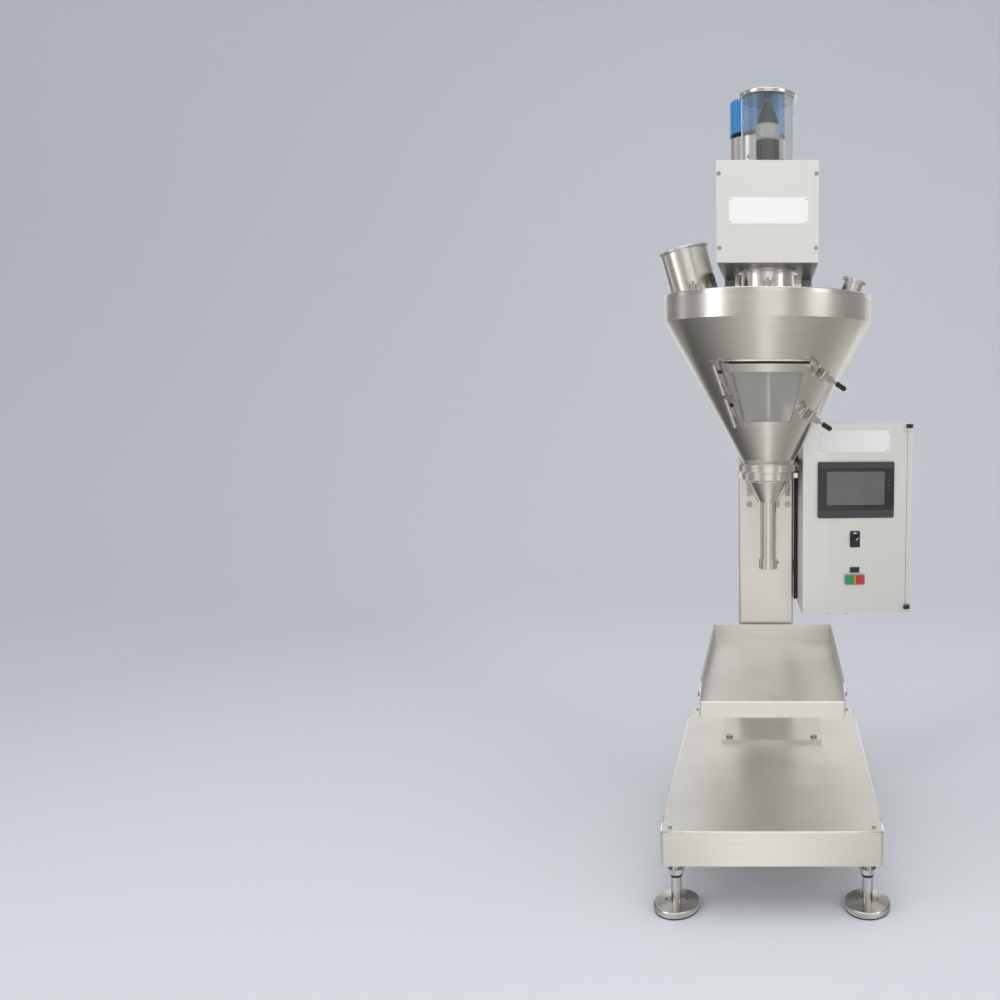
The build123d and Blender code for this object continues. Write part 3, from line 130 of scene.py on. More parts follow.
def noise(tree, place, stretch, detail):
    """A cloudy noise; the stretch says how fine it is along each axis."""
    mapping = tree.nodes.new("ShaderNodeMapping")
    mapping.inputs["Scale"].default_value = stretch
    tree.links.new(place, mapping.inputs["Vector"])
    texture = tree.nodes.new("ShaderNodeTexNoise")
    texture.inputs["Scale"].default_value = 1.0
    texture.inputs["Detail"].default_value = detail
    tree.links.new(mapping.outputs[0], texture.inputs["Vector"])
    return texture.outputs["Fac"]


def ramp(tree, factor, stops, interpolation="LINEAR"):
    node = tree.nodes.new("ShaderNodeValToRGB")
    node.color_ramp.interpolation = interpolation
    while len(node.color_ramp.elements) < len(stops):
        node.color_ramp.elements.new(0.5)
    for element, (position, colour) in zip(node.color_ramp.elements, stops):
        element.position = position
        element.color = (*colour, 1.0)
    tree.links.new(factor, node.inputs["Fac"])
    return node.outputs["Color"]


def shaded(tint, share):
    return tuple(c * share for c in tint)


# The range that nearly all of a noise lies in
NOISE_LOW, NOISE_HIGH = 0.3, 0.7


def cloud_colour(tree, shader, cloud, dark, tint):
    """Lets the colour drift between two shades."""
    tree.links.new(ramp(tree, cloud, ((NOISE_LOW, dark), (NOISE_HIGH, tint))), shader.inputs["Base Color"])


def vary_roughness(tree, shader, grain, roughness, drift):
    """Lets the roughness drift below and above its value."""
    limits = [roughness + step for step in drift]
    tree.links.new(rescale(tree, grain, (NOISE_LOW, NOISE_HIGH), limits), shader.inputs["Roughness"])


def raise_grain(tree, shader, height, strength, depth):
    bump = tree.nodes.new("ShaderNodeBump")
    bump.inputs["Strength"].default_value = strength
    bump.inputs["Distance"].default_value = depth
    tree.links.new(height, bump.inputs["Height"])
    tree.links.new(bump.outputs[0], shader.inputs["Normal"])


# Finishes: how fine their grain is along X, Y and Z, how deep in metres, and how far their roughness drifts
SCRATCH_DEPTH = 0.0003
SCRATCH_DARK, SCRATCH_MIDDLE, SCRATCH_LIGHT = 0.32, 0.5, 0.7
LIGHT_SHARE = 0.6
SMEAR = (6.0, 6.0, 4.0)
STEEL_DRIFT = (-0.05, 0.07)
LEATHER_DEPTH = 0.0002
LEATHER_STRENGTH = 0.15
SLOW_CLOUD = (14.0, 14.0, 14.0)
MOULDED_DRIFT = (-0.05, 0.06)
DUST_CLOUD = (9.0, 9.0, 30.0)
DUST_SHADE = 0.96
DUST_DRIFT = (0.0, 0.05)
ACRYLIC_IOR = 1.3
RING_GRAIN = (300.0, 300.0, 12.0)
RING_RELIEF = 0.04
RING_DRIFT = (-0.05, 0.08)
FOOT_GRAIN = (420.0, 420.0, 420.0)
FOOT_ROUGHNESS = 0.22
FOOT_DRIFT = (-0.04, 0.06)
# Painted reflection round a foot: light and dark sectors, each a share of the turn and a share of the tint
FOOT_REFLECTION_FAN = ((0.0, 0.92), (0.10, 0.34), (0.20, 0.40), (0.30, 0.95), (0.45, 0.72),
            (0.55, 0.95), (0.68, 0.36), (0.80, 0.44), (0.92, 0.95), (1.0, 0.92))


def steel(name, tint, roughness, stretch, turned=False, contrast=0.10, anisotropy=0.0, relief=0.12):
    """Brushed stainless steel: fine scratches along one way, and a slow change of shine."""
    finish, tree, shader = new_finish(name, 1.0, roughness)
    shader.inputs["Anisotropic"].default_value = anisotropy
    place = object_place(tree)
    grain_place = round_the_axis(tree, place) if turned else place
    grain = noise(tree, grain_place, stretch, detail=4.0)
    dark = shaded(tint, 1 - contrast)
    light = tuple(min(1.0, c) for c in shaded(tint, 1 + contrast * LIGHT_SHARE))
    stops = ((SCRATCH_DARK, dark), (SCRATCH_MIDDLE, tint), (SCRATCH_LIGHT, light))
    tree.links.new(ramp(tree, grain, stops), shader.inputs["Base Color"])
    vary_roughness(tree, shader, noise(tree, place, SMEAR, detail=2.0), roughness, STEEL_DRIFT)
    raise_grain(tree, shader, grain, relief, SCRATCH_DEPTH)
    return finish


def moulded(name, tint, roughness, speckle=900.0, coat=0.0, shade=0.86):
    """Moulded plastic or enamel: an even colour with a fine leathery surface."""
    finish, tree, shader = new_finish(name, 0.0, roughness)
    shader.inputs["Coat Weight"].default_value = coat
    place = object_place(tree)
    fine = noise(tree, place, (speckle,) * 3, detail=2.0)
    slow = noise(tree, place, SLOW_CLOUD, detail=2.0)
    cloud_colour(tree, shader, slow, shaded(tint, shade), tint)
    vary_roughness(tree, shader, slow, roughness, MOULDED_DRIFT)
    raise_grain(tree, shader, fine, LEATHER_STRENGTH, LEATHER_DEPTH)
    return finish


def clear_acrylic(name, tint, roughness, clear):
    """Clear sheet with a faint haze of powder dust."""
    finish, tree, shader = new_finish(name, 0.0, roughness)
    shader.inputs["Transmission Weight"].default_value = clear
    shader.inputs["IOR"].default_value = ACRYLIC_IOR
    haze = noise(tree, object_place(tree), DUST_CLOUD, detail=3.0)
    cloud_colour(tree, shader, haze, shaded(tint, DUST_SHADE), tint)
    vary_roughness(tree, shader, haze, roughness, DUST_DRIFT)
    return finish


def by_height(name, stops, span, metallic, roughness, rib=0.0):
    """A finish whose colour changes with height, for a motor's rings, with fine ribs if asked."""
    finish, tree, shader = new_finish(name, metallic, roughness)
    place = object_place(tree)
    height = rescale(tree, split_axes(tree, place)["Z"], span)
    tree.links.new(ramp(tree, height, stops, "CONSTANT"), shader.inputs["Base Color"])
    grain = noise(tree, place, RING_GRAIN, detail=2.0)
    vary_roughness(tree, shader, grain, roughness, RING_DRIFT)
    raise_grain(tree, shader, grain, RING_RELIEF + rib, SCRATCH_DEPTH)
    return finish


def turned_feet_with_painted_reflection(name, tint):
    """Steel turned on each foot's own axis, with painted reflections: light and dark sectors that fan out
    from the stem.
    """
    finish, tree, shader = new_finish(name, 1.0, FOOT_ROUGHNESS)
    place = object_place(tree)
    axes = split_axes(tree, place)

    def from_foot(axis, middle, reach):
        """How far out a place lies from the nearest foot, along one axis."""
        aside = work_out(tree, "ABSOLUTE", work_out(tree, "SUBTRACT", axes[axis], middle))
        return work_out(tree, "SUBTRACT", aside, reach)

    across = from_foot("X", BASE_X, FOOT_X)
    along = from_foot("Y", (FOOT_BACK + FOOT_FRONT) / 2, (FOOT_BACK - FOOT_FRONT) / 2)
    turn = work_out(tree, "DIVIDE", work_out(tree, "ARCTAN2", across, along), FULL_TURN)
    # painted reflection: the sectors' light and dark shades go into the base colour
    stops = [(share, shaded(tint, shade)) for share, shade in FOOT_REFLECTION_FAN]
    tree.links.new(ramp(tree, work_out(tree, "ADD", turn, 0.5), stops), shader.inputs["Base Color"])
    vary_roughness(tree, shader, noise(tree, place, FOOT_GRAIN, detail=2.0), FOOT_ROUGHNESS, FOOT_DRIFT)
    return finish


def plain_steel(name, tint, roughness, grain=160.0, contrast=0.10):
    """Steel of small parts, whose grain runs no special way."""
    return steel(name, tint, roughness, (grain,) * 3, contrast=contrast)


HOPPER_STEEL = steel("hopper_steel", (0.70, 0.68, 0.64), 0.20, (1.2, 1.0, 900.0),
                     turned=True, contrast=0.05, anisotropy=0.6)
TURNED_STEEL = steel("turned_steel", (0.74, 0.72, 0.69), 0.16, (1.5, 1.0, 1100.0),
                     turned=True, contrast=0.05, anisotropy=0.4)
PIPE_STEEL = steel("pipe_steel", (0.70, 0.68, 0.64), 0.20, (500.0, 500.0, 6.0), contrast=0.06)
BASE_STEEL = steel("base_steel", (0.83, 0.815, 0.78), 0.38, (4.0, 620.0, 620.0),
                   contrast=0.045, anisotropy=0.3, relief=0.05)
SIDE_STEEL = steel("side_steel", (0.62, 0.61, 0.58), 0.55, (4.0, 620.0, 620.0), contrast=0.05, relief=0.05)
COLUMN_STEEL = steel("column_steel", (0.79, 0.77, 0.73), 0.38, (620.0, 620.0, 3.0),
                     contrast=0.03, relief=0.05)
BOX_STEEL = steel("box_steel", (0.76, 0.755, 0.735), 0.46, (520.0, 520.0, 2.0), contrast=0.03)
ENCLOSURE_STEEL = steel("enclosure_steel", (0.79, 0.785, 0.77), 0.48, (520.0, 520.0, 2.5), contrast=0.025)
BRIGHT_STEEL = plain_steel("bright_steel", (0.68, 0.66, 0.63), 0.20)
BRIGHT_LATCH = plain_steel("bright_latch", (0.66, 0.64, 0.61), 0.18, grain=90.0)
BOLT_STEEL = plain_steel("bolt_steel", (0.40, 0.39, 0.37), 0.26)
DARK_STEEL = plain_steel("dark_steel", (0.24, 0.24, 0.23), 0.35)
# Much lighter than the other steels: a painted highlight for the bead on the base pan's edge
EDGE_HIGHLIGHT_STEEL = plain_steel("edge_highlight_steel", (0.93, 0.92, 0.89), 0.16, grain=60.0, contrast=0.04)
# Feet: turned steel with painted reflections in light and dark sectors round each stem
FOOT_PAINTED_REFLECTION_STEEL = turned_feet_with_painted_reflection("foot_painted_reflection_steel", (0.78, 0.76, 0.71))
CLEAR_GUARD = clear_acrylic("clear_guard", (0.93, 0.94, 0.94), 0.02, 0.94)
CLEAR_PANE = clear_acrylic("clear_pane", (0.88, 0.86, 0.80), 0.06, 0.70)
BLACK_RUBBER = moulded("black_rubber", (0.018, 0.018, 0.018), 0.62)
BLACK_PLASTIC = moulded("black_plastic", (0.018, 0.018, 0.02), 0.42)
PANEL_GREY = moulded("panel_grey", (0.055, 0.058, 0.06), 0.45)
PANEL_BLACK = moulded("panel_black", (0.012, 0.012, 0.013), 0.22, coat=0.3)
SCREEN_GREY = moulded("screen_grey", (0.135, 0.14, 0.145), 0.16, speckle=2500.0, coat=0.5)
MOTOR_BLUE = moulded("motor_blue", (0.015, 0.26, 0.66), 0.32, coat=0.4)
BUTTON_GREEN = moulded("button_green", (0.0, 0.36, 0.10), 0.30, coat=0.4)
BUTTON_RED = moulded("button_red", (0.72, 0.012, 0.022), 0.30, coat=0.4)
BUTTON_YELLOW = moulded("button_yellow", (0.86, 0.55, 0.02), 0.30, coat=0.4)
FRAME_GREY = moulded("frame_grey", (0.32, 0.33, 0.33), 0.45)
PLATE_WHITE = moulded("plate_white", (0.96, 0.95, 0.93), 0.40, coat=0.1, shade=0.98)
MODULE_GREY = moulded("module_grey", (0.5, 0.51, 0.5), 0.5)

# Rings of colour from the bottom up, as shares of the span of heights that follows them
SERVO_RINGS = ((0.0, (0.03, 0.03, 0.033)), (0.46, (0.55, 0.55, 0.54)), (0.68, (0.025, 0.025, 0.028)))
SERVO_FINISH = by_height("servo_finish", SERVO_RINGS, (1.687, 1.849), 0.35, 0.4, rib=0.2)
CONTROL_RINGS = ((0.0, (0.30, 0.31, 0.31)), (0.203, (0.016, 0.016, 0.018)))
CONTROL_FINISH = by_height("control_finish", CONTROL_RINGS, (0.650, 0.810), 0.0, 0.42)
STIRRER_RINGS = ((0.0, (0.72, 0.71, 0.69)), (0.9, (0.03, 0.03, 0.03)))
STIRRER_FINISH = by_height("stirrer_finish", STIRRER_RINGS, (1.687, 1.809), 0.9, 0.26)

FINISHES = {
    HOPPER_STEEL: "hopper_bowl door_frame funnel",
    TURNED_STEEL: "neck_housing clamp_ring auger_tube spout_collar guard_cap hopper_carrier hopper_lid",
    PIPE_STEEL: "powder_inlet vent_spigot",
    BASE_STEEL: "base_pan base_frame tray tray_bracket",
    SIDE_STEEL: "tray_sides",
    COLUMN_STEEL: "column enclosure_bracket",
    BOX_STEEL: "drive_box drive_box_cover",
    ENCLOSURE_STEEL: "enclosure_body enclosure_door",
    BOLT_STEEL: "column_bolts",
    BRIGHT_STEEL: "door_hinge_fixed door_hinge_leaf latch_bases latch_keepers latch_bail_upper"
                  " latch_bail_lower shaft_bearings shaft_coupling auger agitator motor_pulley"
                  " agitator_pulley foot_nuts",
    BRIGHT_LATCH: "latch_lever_upper latch_lever_lower",
    FOOT_PAINTED_REFLECTION_STEEL: "levelling_feet",
    CLEAR_GUARD: "guard_tube",
    CLEAR_PANE: "door_pane",
    BLACK_RUBBER: "foot_soles hopper_seals door_seal drive_belt",
    BLACK_PLASTIC: "cable_glands enclosure_hinges selector_knob",
    PANEL_GREY: "touch_panel",
    SCREEN_GREY: "panel_screen",
    MOTOR_BLUE: "stirrer_cap",
    BUTTON_GREEN: "start_button",
    BUTTON_RED: "stop_button",
    MODULE_GREY: "mounting_panel",
    SERVO_FINISH: "servo_motor",
    STIRRER_FINISH: "stirrer_motor",
    CONTROL_FINISH: "control_plates",
}
for finish, names in FINISHES.items():
    for name in names.split():
        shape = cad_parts[name]
        shape.data.materials.clear()
        shape.data.materials.append(finish)

# Camera at the photograph's place, and soft lights
PITCH_DOWN = 7.0
camera = new_object("camera", bpy.data.cameras.new("camera"))
camera.location = (0.010, -2.228, 1.171)
camera.rotation_euler = (math.radians(90.0 - PITCH_DOWN), 0.0, 0.0)
camera.data.lens = 32.2
camera.data.sensor_width = 36.0
camera.data.shift_x = -0.272
bpy.context.scene.camera = camera
bpy.context.scene.view_settings.view_transform = "Standard"


def soft_light(name, place, aim, size, power):
    lamp = bpy.data.lights.new(name, "AREA")
    lamp.shape = "RECTANGLE"
    lamp.size, lamp.size_y = size
    lamp.energy = power
    holder = new_object(name, lamp)
    holder.location = place
    holder.rotation_euler = (Vector(aim) - Vector(place)).to_track_quat("-Z", "Y").to_euler()


soft_light("overhead", (0.0, -1.0, 3.6), (0.0, 0.0, 0.9), (3.4, 2.4), 34.0)
soft_light("left_bank", (-2.6, -1.6, 1.9), (0.0, 0.0, 1.0), (1.0, 2.4), 13.0)
soft_light("right_bank", (2.7, -1.7, 1.9), (0.0, 0.0, 1.0), (1.0, 2.4), 10.0)
soft_light("front_fill", (0.9, -3.6, 1.5), (0.15, 0.0, 1.0), (2.6, 1.6), 12.0)

world = bpy.data.worlds.new("studio")
bpy.context.scene.world = world
world.use_nodes = True
world.node_tree.nodes["Background"].inputs["Color"].default_value = (0.90, 0.91, 0.93, 1.0)
world.node_tree.nodes["Background"].inputs["Strength"].default_value = 0.62


# Floor and wall
FLOOR_CLOUD = (0.35, 0.35, 0.35)
FLOOR_SHADE = 0.985
FLOOR_ROUGHNESS = 0.85
BEND_STEPS = 24


def pale_floor(name, tint):
    """A matt floor and wall, even in colour, with a very faint cloud."""
    finish, tree, shader = new_finish(name, 0.0, FLOOR_ROUGHNESS)
    cloud = noise(tree, object_place(tree), FLOOR_CLOUD, detail=1.0)
    cloud_colour(tree, shader, cloud, shaded(tint, FLOOR_SHADE), tint)
    return finish


def sweep_sheet(name, width, front, back, height, bend, finish):
    """Floor and wall in one sheet, joined by a wide round bend; it is as wide to the left as to the right."""
    profile = [(front, 0.0)]
    for step in range(BEND_STEPS + 1):
        turn = math.radians(90.0 * step / BEND_STEPS)
        profile.append((back - bend + bend * math.sin(turn), bend - bend * math.cos(turn)))
    profile.append((back, height))
    points = [(x, y, z) for y, z in profile for x in (-width, width)]
    faces = [(2 * k, 2 * k + 1, 2 * k + 3, 2 * k + 2) for k in range(len(profile) - 1)]
    mesh = bpy.data.meshes.new(name)
    mesh.from_pydata(points, [], faces)
    mesh.materials.append(finish)
    mesh.shade_smooth()
    return new_object(name, mesh)


floor = sweep_sheet("floor", width=40.0, front=-24.0, back=5.0, height=12.0, bend=2.5,
                    finish=pale_floor("floor_pale", (0.80, 0.82, 0.86)))

# Studio round the machine, which only polished metal shows
STUDIO_RADIUS = 3.3
STUDIO_HEIGHT = 3.2
STUDIO_STEPS = 72
GROUND_HEIGHT = 0.003
GROUND_HOLE = 0.16
WARM_TONE = (1.0, 0.985, 0.95)


def studio_tones(name, tones):
    """Light and dark strips of a studio round the machine, by the angle from the front in degrees."""
    finish = bpy.data.materials.new(name)
    finish.use_nodes = True
    tree = finish.node_tree
    tree.nodes.remove(tree.nodes["Principled BSDF"])
    glow = tree.nodes.new("ShaderNodeEmission")
    tree.links.new(glow.outputs[0], tree.nodes["Material Output"].inputs["Surface"])
    axes = split_axes(tree, object_place(tree))
    angle = work_out(tree, "ARCTAN2", axes["X"], work_out(tree, "MULTIPLY", axes["Y"], -1.0))
    share = rescale(tree, angle, (-math.pi, math.pi))
    stops = [((degrees + 180.0) / 360.0, shaded(WARM_TONE, tone)) for degrees, tone in tones]
    tree.links.new(ramp(tree, share, stops), glow.inputs["Color"])
    return finish


def studio_band(name, edges, finish):
    """A band round the machine; each of its two edges is a share of the studio's radius, and a height."""
    points = []
    for step in range(STUDIO_STEPS):
        turn = FULL_TURN * step / STUDIO_STEPS
        for share, height in edges:
            reach = STUDIO_RADIUS * share
            points.append((reach * math.sin(turn), -reach * math.cos(turn), height))
    count = len(points)
    faces = [(k, k + 1, (k + 3) % count, (k + 2) % count) for k in range(0, count, 2)]
    mesh = bpy.data.meshes.new(name)
    mesh.from_pydata(points, [], faces)
    mesh.materials.append(finish)
    sheet = new_object(name, mesh)
    sheet.visible_camera = False
    sheet.visible_shadow = False
    sheet.visible_diffuse = False
    sheet.visible_transmission = False


WALL_TONES = ((-170, 0.80), (-150, 0.95), (-138, 0.30), (-112, 0.24), (-104, 0.95), (-94, 0.34), (-66, 0.28),
              (-58, 0.62), (-44, 0.80), (-30, 0.48), (-18, 0.50), (-8, 0.92), (14, 0.95), (24, 0.46),
              (40, 0.52), (46, 1.00), (54, 0.40), (96, 0.30), (126, 0.42), (138, 0.95), (170, 0.80))
GROUND_TONES = ((-165, 0.85), (-150, 0.90), (-136, 0.10), (-108, 0.13), (-78, 0.27), (-44, 0.50),
                (-18, 0.66), (-6, 1.00), (6, 0.94), (20, 0.58), (44, 0.46), (78, 0.36), (104, 0.44),
                (128, 0.72), (138, 0.14), (150, 0.85), (165, 0.85))
studio_band("studio_wall", ((1.0, 0.0), (1.0, STUDIO_HEIGHT)), studio_tones("wall_tones", WALL_TONES))
studio_band("studio_ground", ((GROUND_HOLE, GROUND_HEIGHT), (1.0, GROUND_HEIGHT)),
            studio_tones("ground_tones", GROUND_TONES))


# Meshes of the pieces made here

def keep(name, mesh, body, finish=None):
    """Puts a finished mesh in the scene, on the body that carries it."""
    if finish is not None:
        mesh.materials.clear()
        mesh.materials.append(finish)
    piece = new_object(name, mesh)
    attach(piece, body)
    return piece


def mesh_from(name, shape):
    bmesh.ops.recalc_face_normals(shape, faces=shape.faces)
    mesh = bpy.data.meshes.new(name)
    shape.to_mesh(mesh)
    shape.free()
    return mesh


def plate(name, centre, ways, size, bevel, body, finish):
    """Keeps a plate with softened edges on a face: size is width, height and thickness."""
    right, up, out = ways
    shape = bmesh.new()
    bmesh.ops.create_cube(shape, size=1.0)
    for vertex in shape.verts:
        x, y, z = vertex.co.x * size[0], vertex.co.y * size[1], (vertex.co.z + 0.5) * size[2]
        vertex.co = centre + right * x + up * y + out * z
    bmesh.ops.bevel(shape, geom=list(shape.edges), offset=bevel, segments=2, affect="EDGES")
    keep(name, mesh_from(name, shape), body, finish)


def loft(name, rings, closed=False, smooth=False):
    """A body through rings of places: closed into a loop, or with a flat face at each end."""
    shape = bmesh.new()
    rings = [[shape.verts.new(place) for place in ring] for ring in rings]
    following = rings[1:] + (rings[:1] if closed else [])
    for here, there in zip(rings, following):
        for k in range(len(here)):
            n = (k + 1) % len(here)
            shape.faces.new((here[k], here[n], there[n], there[k]))
    if not closed:
        shape.faces.new(rings[0])
        shape.faces.new(reversed(rings[-1]))
    mesh = mesh_from(name, shape)
    if smooth:
        mesh.shade_smooth()
    return mesh


def circle(centre, one, two, radius, sides):
    """Places on a circle in the plane of two ways."""
    turns = [FULL_TURN * k / sides for k in range(sides)]
    return [centre + one * (radius * math.cos(turn)) + two * (radius * math.sin(turn)) for turn in turns]


# A way that no rod here runs along
ROD_ASIDE = Vector((0.31, 0.87, 0.38))


def rod_along(name, points, radius, sides=12):
    """A round rod that follows a line of places, with closed ends."""
    rings = []
    for index, place in enumerate(points):
        ahead = (points[min(index + 1, len(points) - 1)] - points[max(index - 1, 0)]).normalized()
        one = ahead.cross(ROD_ASIDE).normalized()
        rings.append(circle(place, one, ahead.cross(one), radius, sides))
    return loft(name, rings, smooth=True)


def turned_ring(name, centre, profile, sides=40):
    """A ring turned about an upright axis: the profile is a closed line of radius and height."""
    rings = []
    for k in range(sides):
        turn = FULL_TURN * k / sides
        rings.append([centre + Vector((r * math.cos(turn), r * math.sin(turn), z)) for r, z in profile])
    return loft(name, rings, closed=True)


# Node trees for what repeats
SCREW_SIZES = ("Head Radius", "Head Height", "Socket Radius")
DOME_SIZES = ("Head Radius", "Head Height")
SLAT_SIZES = ("Slat Width", "Slat Height", "Slat Depth")
SCREW_CROWN = 0.78
SCREW_SIDES = 24
SOCKET_SIDES = 6
DOME_SEGMENTS = 20
DOME_RINGS = 10


def tree_with(name, sizes):
    """A new node tree that takes points and named sizes, and gives a mesh back."""
    tree = bpy.data.node_groups.new(name, "GeometryNodeTree")
    tree.interface.new_socket("Points", in_out="INPUT", socket_type="NodeSocketGeometry")
    for size in sizes:
        tree.interface.new_socket(size, in_out="INPUT", socket_type="NodeSocketFloat")
    tree.interface.new_socket("Finish", in_out="INPUT", socket_type="NodeSocketMaterial")
    tree.interface.new_socket("Mesh", in_out="OUTPUT", socket_type="NodeSocketGeometry")
    return tree, tree.nodes.new("NodeGroupInput"), tree.nodes.new("NodeGroupOutput")


def sizes_as_vector(tree, taken, names):
    """Joins the sizes named for X, Y and Z into one vector."""
    join = tree.nodes.new("ShaderNodeCombineXYZ")
    for axis, name in zip("XYZ", names):
        tree.links.new(taken.outputs[name], join.inputs[axis])
    return join.outputs[0]


def moved_copy(tree, mesh, how, vector):
    """Moves or scales a mesh, as the name of the node's socket says."""
    node = tree.nodes.new("GeometryNodeTransform")
    tree.links.new(mesh, node.inputs["Geometry"])
    tree.links.new(vector, node.inputs[how])
    return node.outputs[0]


def set_out(tree, taken, given, head):
    """Stands a copy of the head on each point, along the way that the point faces."""
    facing = tree.nodes.new("GeometryNodeInputNamedAttribute")
    facing.data_type = "FLOAT_VECTOR"
    facing.inputs["Name"].default_value = "facing"
    turn = tree.nodes.new("FunctionNodeAlignRotationToVector")
    turn.axis = "Z"
    tree.links.new(facing.outputs["Attribute"], turn.inputs["Vector"])
    copies = tree.nodes.new("GeometryNodeInstanceOnPoints")
    tree.links.new(taken.outputs["Points"], copies.inputs["Points"])
    tree.links.new(head, copies.inputs["Instance"])
    tree.links.new(turn.outputs["Rotation"], copies.inputs["Rotation"])
    real = tree.nodes.new("GeometryNodeRealizeInstances")
    tree.links.new(copies.outputs[0], real.inputs[0])
    dress = tree.nodes.new("GeometryNodeSetMaterial")
    tree.links.new(real.outputs[0], dress.inputs["Geometry"])
    tree.links.new(taken.outputs["Finish"], dress.inputs["Material"])
    tree.links.new(dress.outputs[0], given.inputs["Mesh"])
    return tree


def socket_screw_tree():
    """Low screw heads with a hexagon socket."""
    tree, taken, given = tree_with("socket_screws", SCREW_SIZES)
    crown = work_out(tree, "MULTIPLY", taken.outputs["Head Radius"], SCREW_CROWN)
    head = tree.nodes.new("GeometryNodeMeshCone")
    head.inputs["Vertices"].default_value = SCREW_SIDES
    tree.links.new(taken.outputs["Head Radius"], head.inputs["Radius Bottom"])
    tree.links.new(crown, head.inputs["Radius Top"])
    tree.links.new(taken.outputs["Head Height"], head.inputs["Depth"])
    well = tree.nodes.new("GeometryNodeMeshCylinder")
    well.inputs["Vertices"].default_value = SOCKET_SIDES
    tree.links.new(taken.outputs["Socket Radius"], well.inputs["Radius"])
    tree.links.new(taken.outputs["Head Height"], well.inputs["Depth"])
    lift = tree.nodes.new("ShaderNodeCombineXYZ")
    tree.links.new(taken.outputs["Head Height"], lift.inputs["Z"])
    raised = moved_copy(tree, well.outputs["Mesh"], "Translation", lift.outputs[0])
    cut = tree.nodes.new("GeometryNodeMeshBoolean")
    cut.operation = "DIFFERENCE"
    tree.links.new(head.outputs["Mesh"], cut.inputs["Mesh 1"])
    tree.links.new(raised, cut.inputs["Mesh 2"])
    return set_out(tree, taken, given, cut.outputs["Mesh"])


def dome_tree():
    """Round rivet heads and small keys: flattened domes."""
    tree, taken, given = tree_with("rivet_domes", DOME_SIZES)
    ball = tree.nodes.new("GeometryNodeMeshUVSphere")
    ball.inputs["Segments"].default_value = DOME_SEGMENTS
    ball.inputs["Rings"].default_value = DOME_RINGS
    ball.inputs["Radius"].default_value = 1.0
    flat = sizes_as_vector(tree, taken, ("Head Radius", "Head Radius", "Head Height"))
    return set_out(tree, taken, given, moved_copy(tree, ball.outputs["Mesh"], "Scale", flat))


def slat_tree():
    """Flat slats, such as a vent's slots or the walls between terminals."""
    tree, taken, given = tree_with("flat_slats", SLAT_SIZES)
    block = tree.nodes.new("GeometryNodeMeshCube")
    tree.links.new(sizes_as_vector(tree, taken, SLAT_SIZES), block.inputs["Size"])
    return set_out(tree, taken, given, block.outputs["Mesh"])


def wing_nut_tree(pattern):
    """Copies of one wing nut."""
    tree, taken, given = tree_with("wing_nut_ring", ("Nut Size",))
    source = tree.nodes.new("GeometryNodeObjectInfo")
    source.inputs["Object"].default_value = pattern
    size = sizes_as_vector(tree, taken, ("Nut Size",) * 3)
    return set_out(tree, taken, given, moved_copy(tree, source.outputs["Geometry"], "Scale", size))


def set_on_points(name, tree, sizes, spots, body, finish):
    """Runs a tree over places that face a way, and keeps its result as one plain mesh."""
    mesh = bpy.data.meshes.new(name + "_points")
    mesh.from_pydata([tuple(place) for place, _ in spots], [], [])
    facing = mesh.attributes.new("facing", "FLOAT_VECTOR", "POINT")
    for index, (_, way) in enumerate(spots):
        facing.data[index].vector = way
    holder = new_object(name + "_points", mesh)
    modifier = holder.modifiers.new("set", "NODES")
    modifier.node_group = tree
    values = {**sizes, "Finish": finish}
    for item in tree.interface.items_tree:
        if item.in_out == "INPUT" and item.name in values:
            modifier[item.identifier] = values[item.name]
    graph = bpy.context.evaluated_depsgraph_get()
    result = bpy.data.meshes.new_from_object(holder.evaluated_get(graph))
    result.name = name
    holder.modifiers.remove(modifier)
    bpy.data.objects.remove(holder)
    return keep(name, result, body, None)


SCREWS = socket_screw_tree()
DOMES = dome_tree()
SLATS = slat_tree()


def screw_heads(name, sizes, spots, finish):
    """Screw heads on the frame, by the head's radius and height and the socket's radius."""
    return set_on_points(name, SCREWS, dict(zip(SCREW_SIZES, sizes)), spots, "frame", finish)


def domes(name, sizes, spots, body, finish):
    """Domes by their radius and height."""
    set_on_points(name, DOMES, dict(zip(DOME_SIZES, sizes)), spots, body, finish)


def slats(name, sizes, spots, finish):
    """Slats on the frame, by their width, height and depth."""
    set_on_points(name, SLATS, dict(zip(SLAT_SIZES, sizes)), spots, "frame", finish)


# Screws of the drive box's cover, the base pan and the tray's side plates
COVER_SCREW = (0.0048, 0.0028, 0.0022)
COVER_SCREW_X = 0.1105
COVER_SCREW_HEIGHTS = (1.494, 1.658)
PAN_SCREW_X = 0.225
PAN_SCREW_ENDS = (-0.357, 0.380)
TRAY_X = 0.011
TRAY_SIDE = 0.168
TRAY_SCREW = (0.006, 0.004, 0.003)
TRAY_SCREW_ENDS = (-0.228, 0.221)
TRAY_SCREW_HEIGHT = 0.474

box_spots = [(Vector((side * COVER_SCREW_X, DRIVE_BOX_FRONT, z)), FRONT)
             for side in (-1, 1) for z in COVER_SCREW_HEIGHTS]
pan_spots = [(Vector((BASE_X + side * PAN_SCREW_X, y, BASE_TOP)), UP)
             for side in (-1, 1) for y in PAN_SCREW_ENDS]
side_spots = [(Vector((TRAY_X + side * TRAY_SIDE, y, TRAY_SCREW_HEIGHT)), RIGHT * side)
              for side in (-1, 1) for y in TRAY_SCREW_ENDS]
screws = screw_heads("cover_screw_heads", COVER_SCREW, box_spots + pan_spots, BOLT_STEEL)
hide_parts("cover_screws")
screw_heads("tray_side_screws", TRAY_SCREW, side_spots, DARK_STEEL)

# Bare plates with their rivets
PLATE_THICK = 0.0012
PLATE_BEVEL = 0.0004
RIVET = (0.0021, 0.0009)
RIVET_INSET = 0.004
BOX_PLATE_PLACE = Vector((0.002, DRIVE_BOX_FRONT, 1.576))
DOOR_PLATE_PLACE = on_door(0.138, 0.0, 1.037)


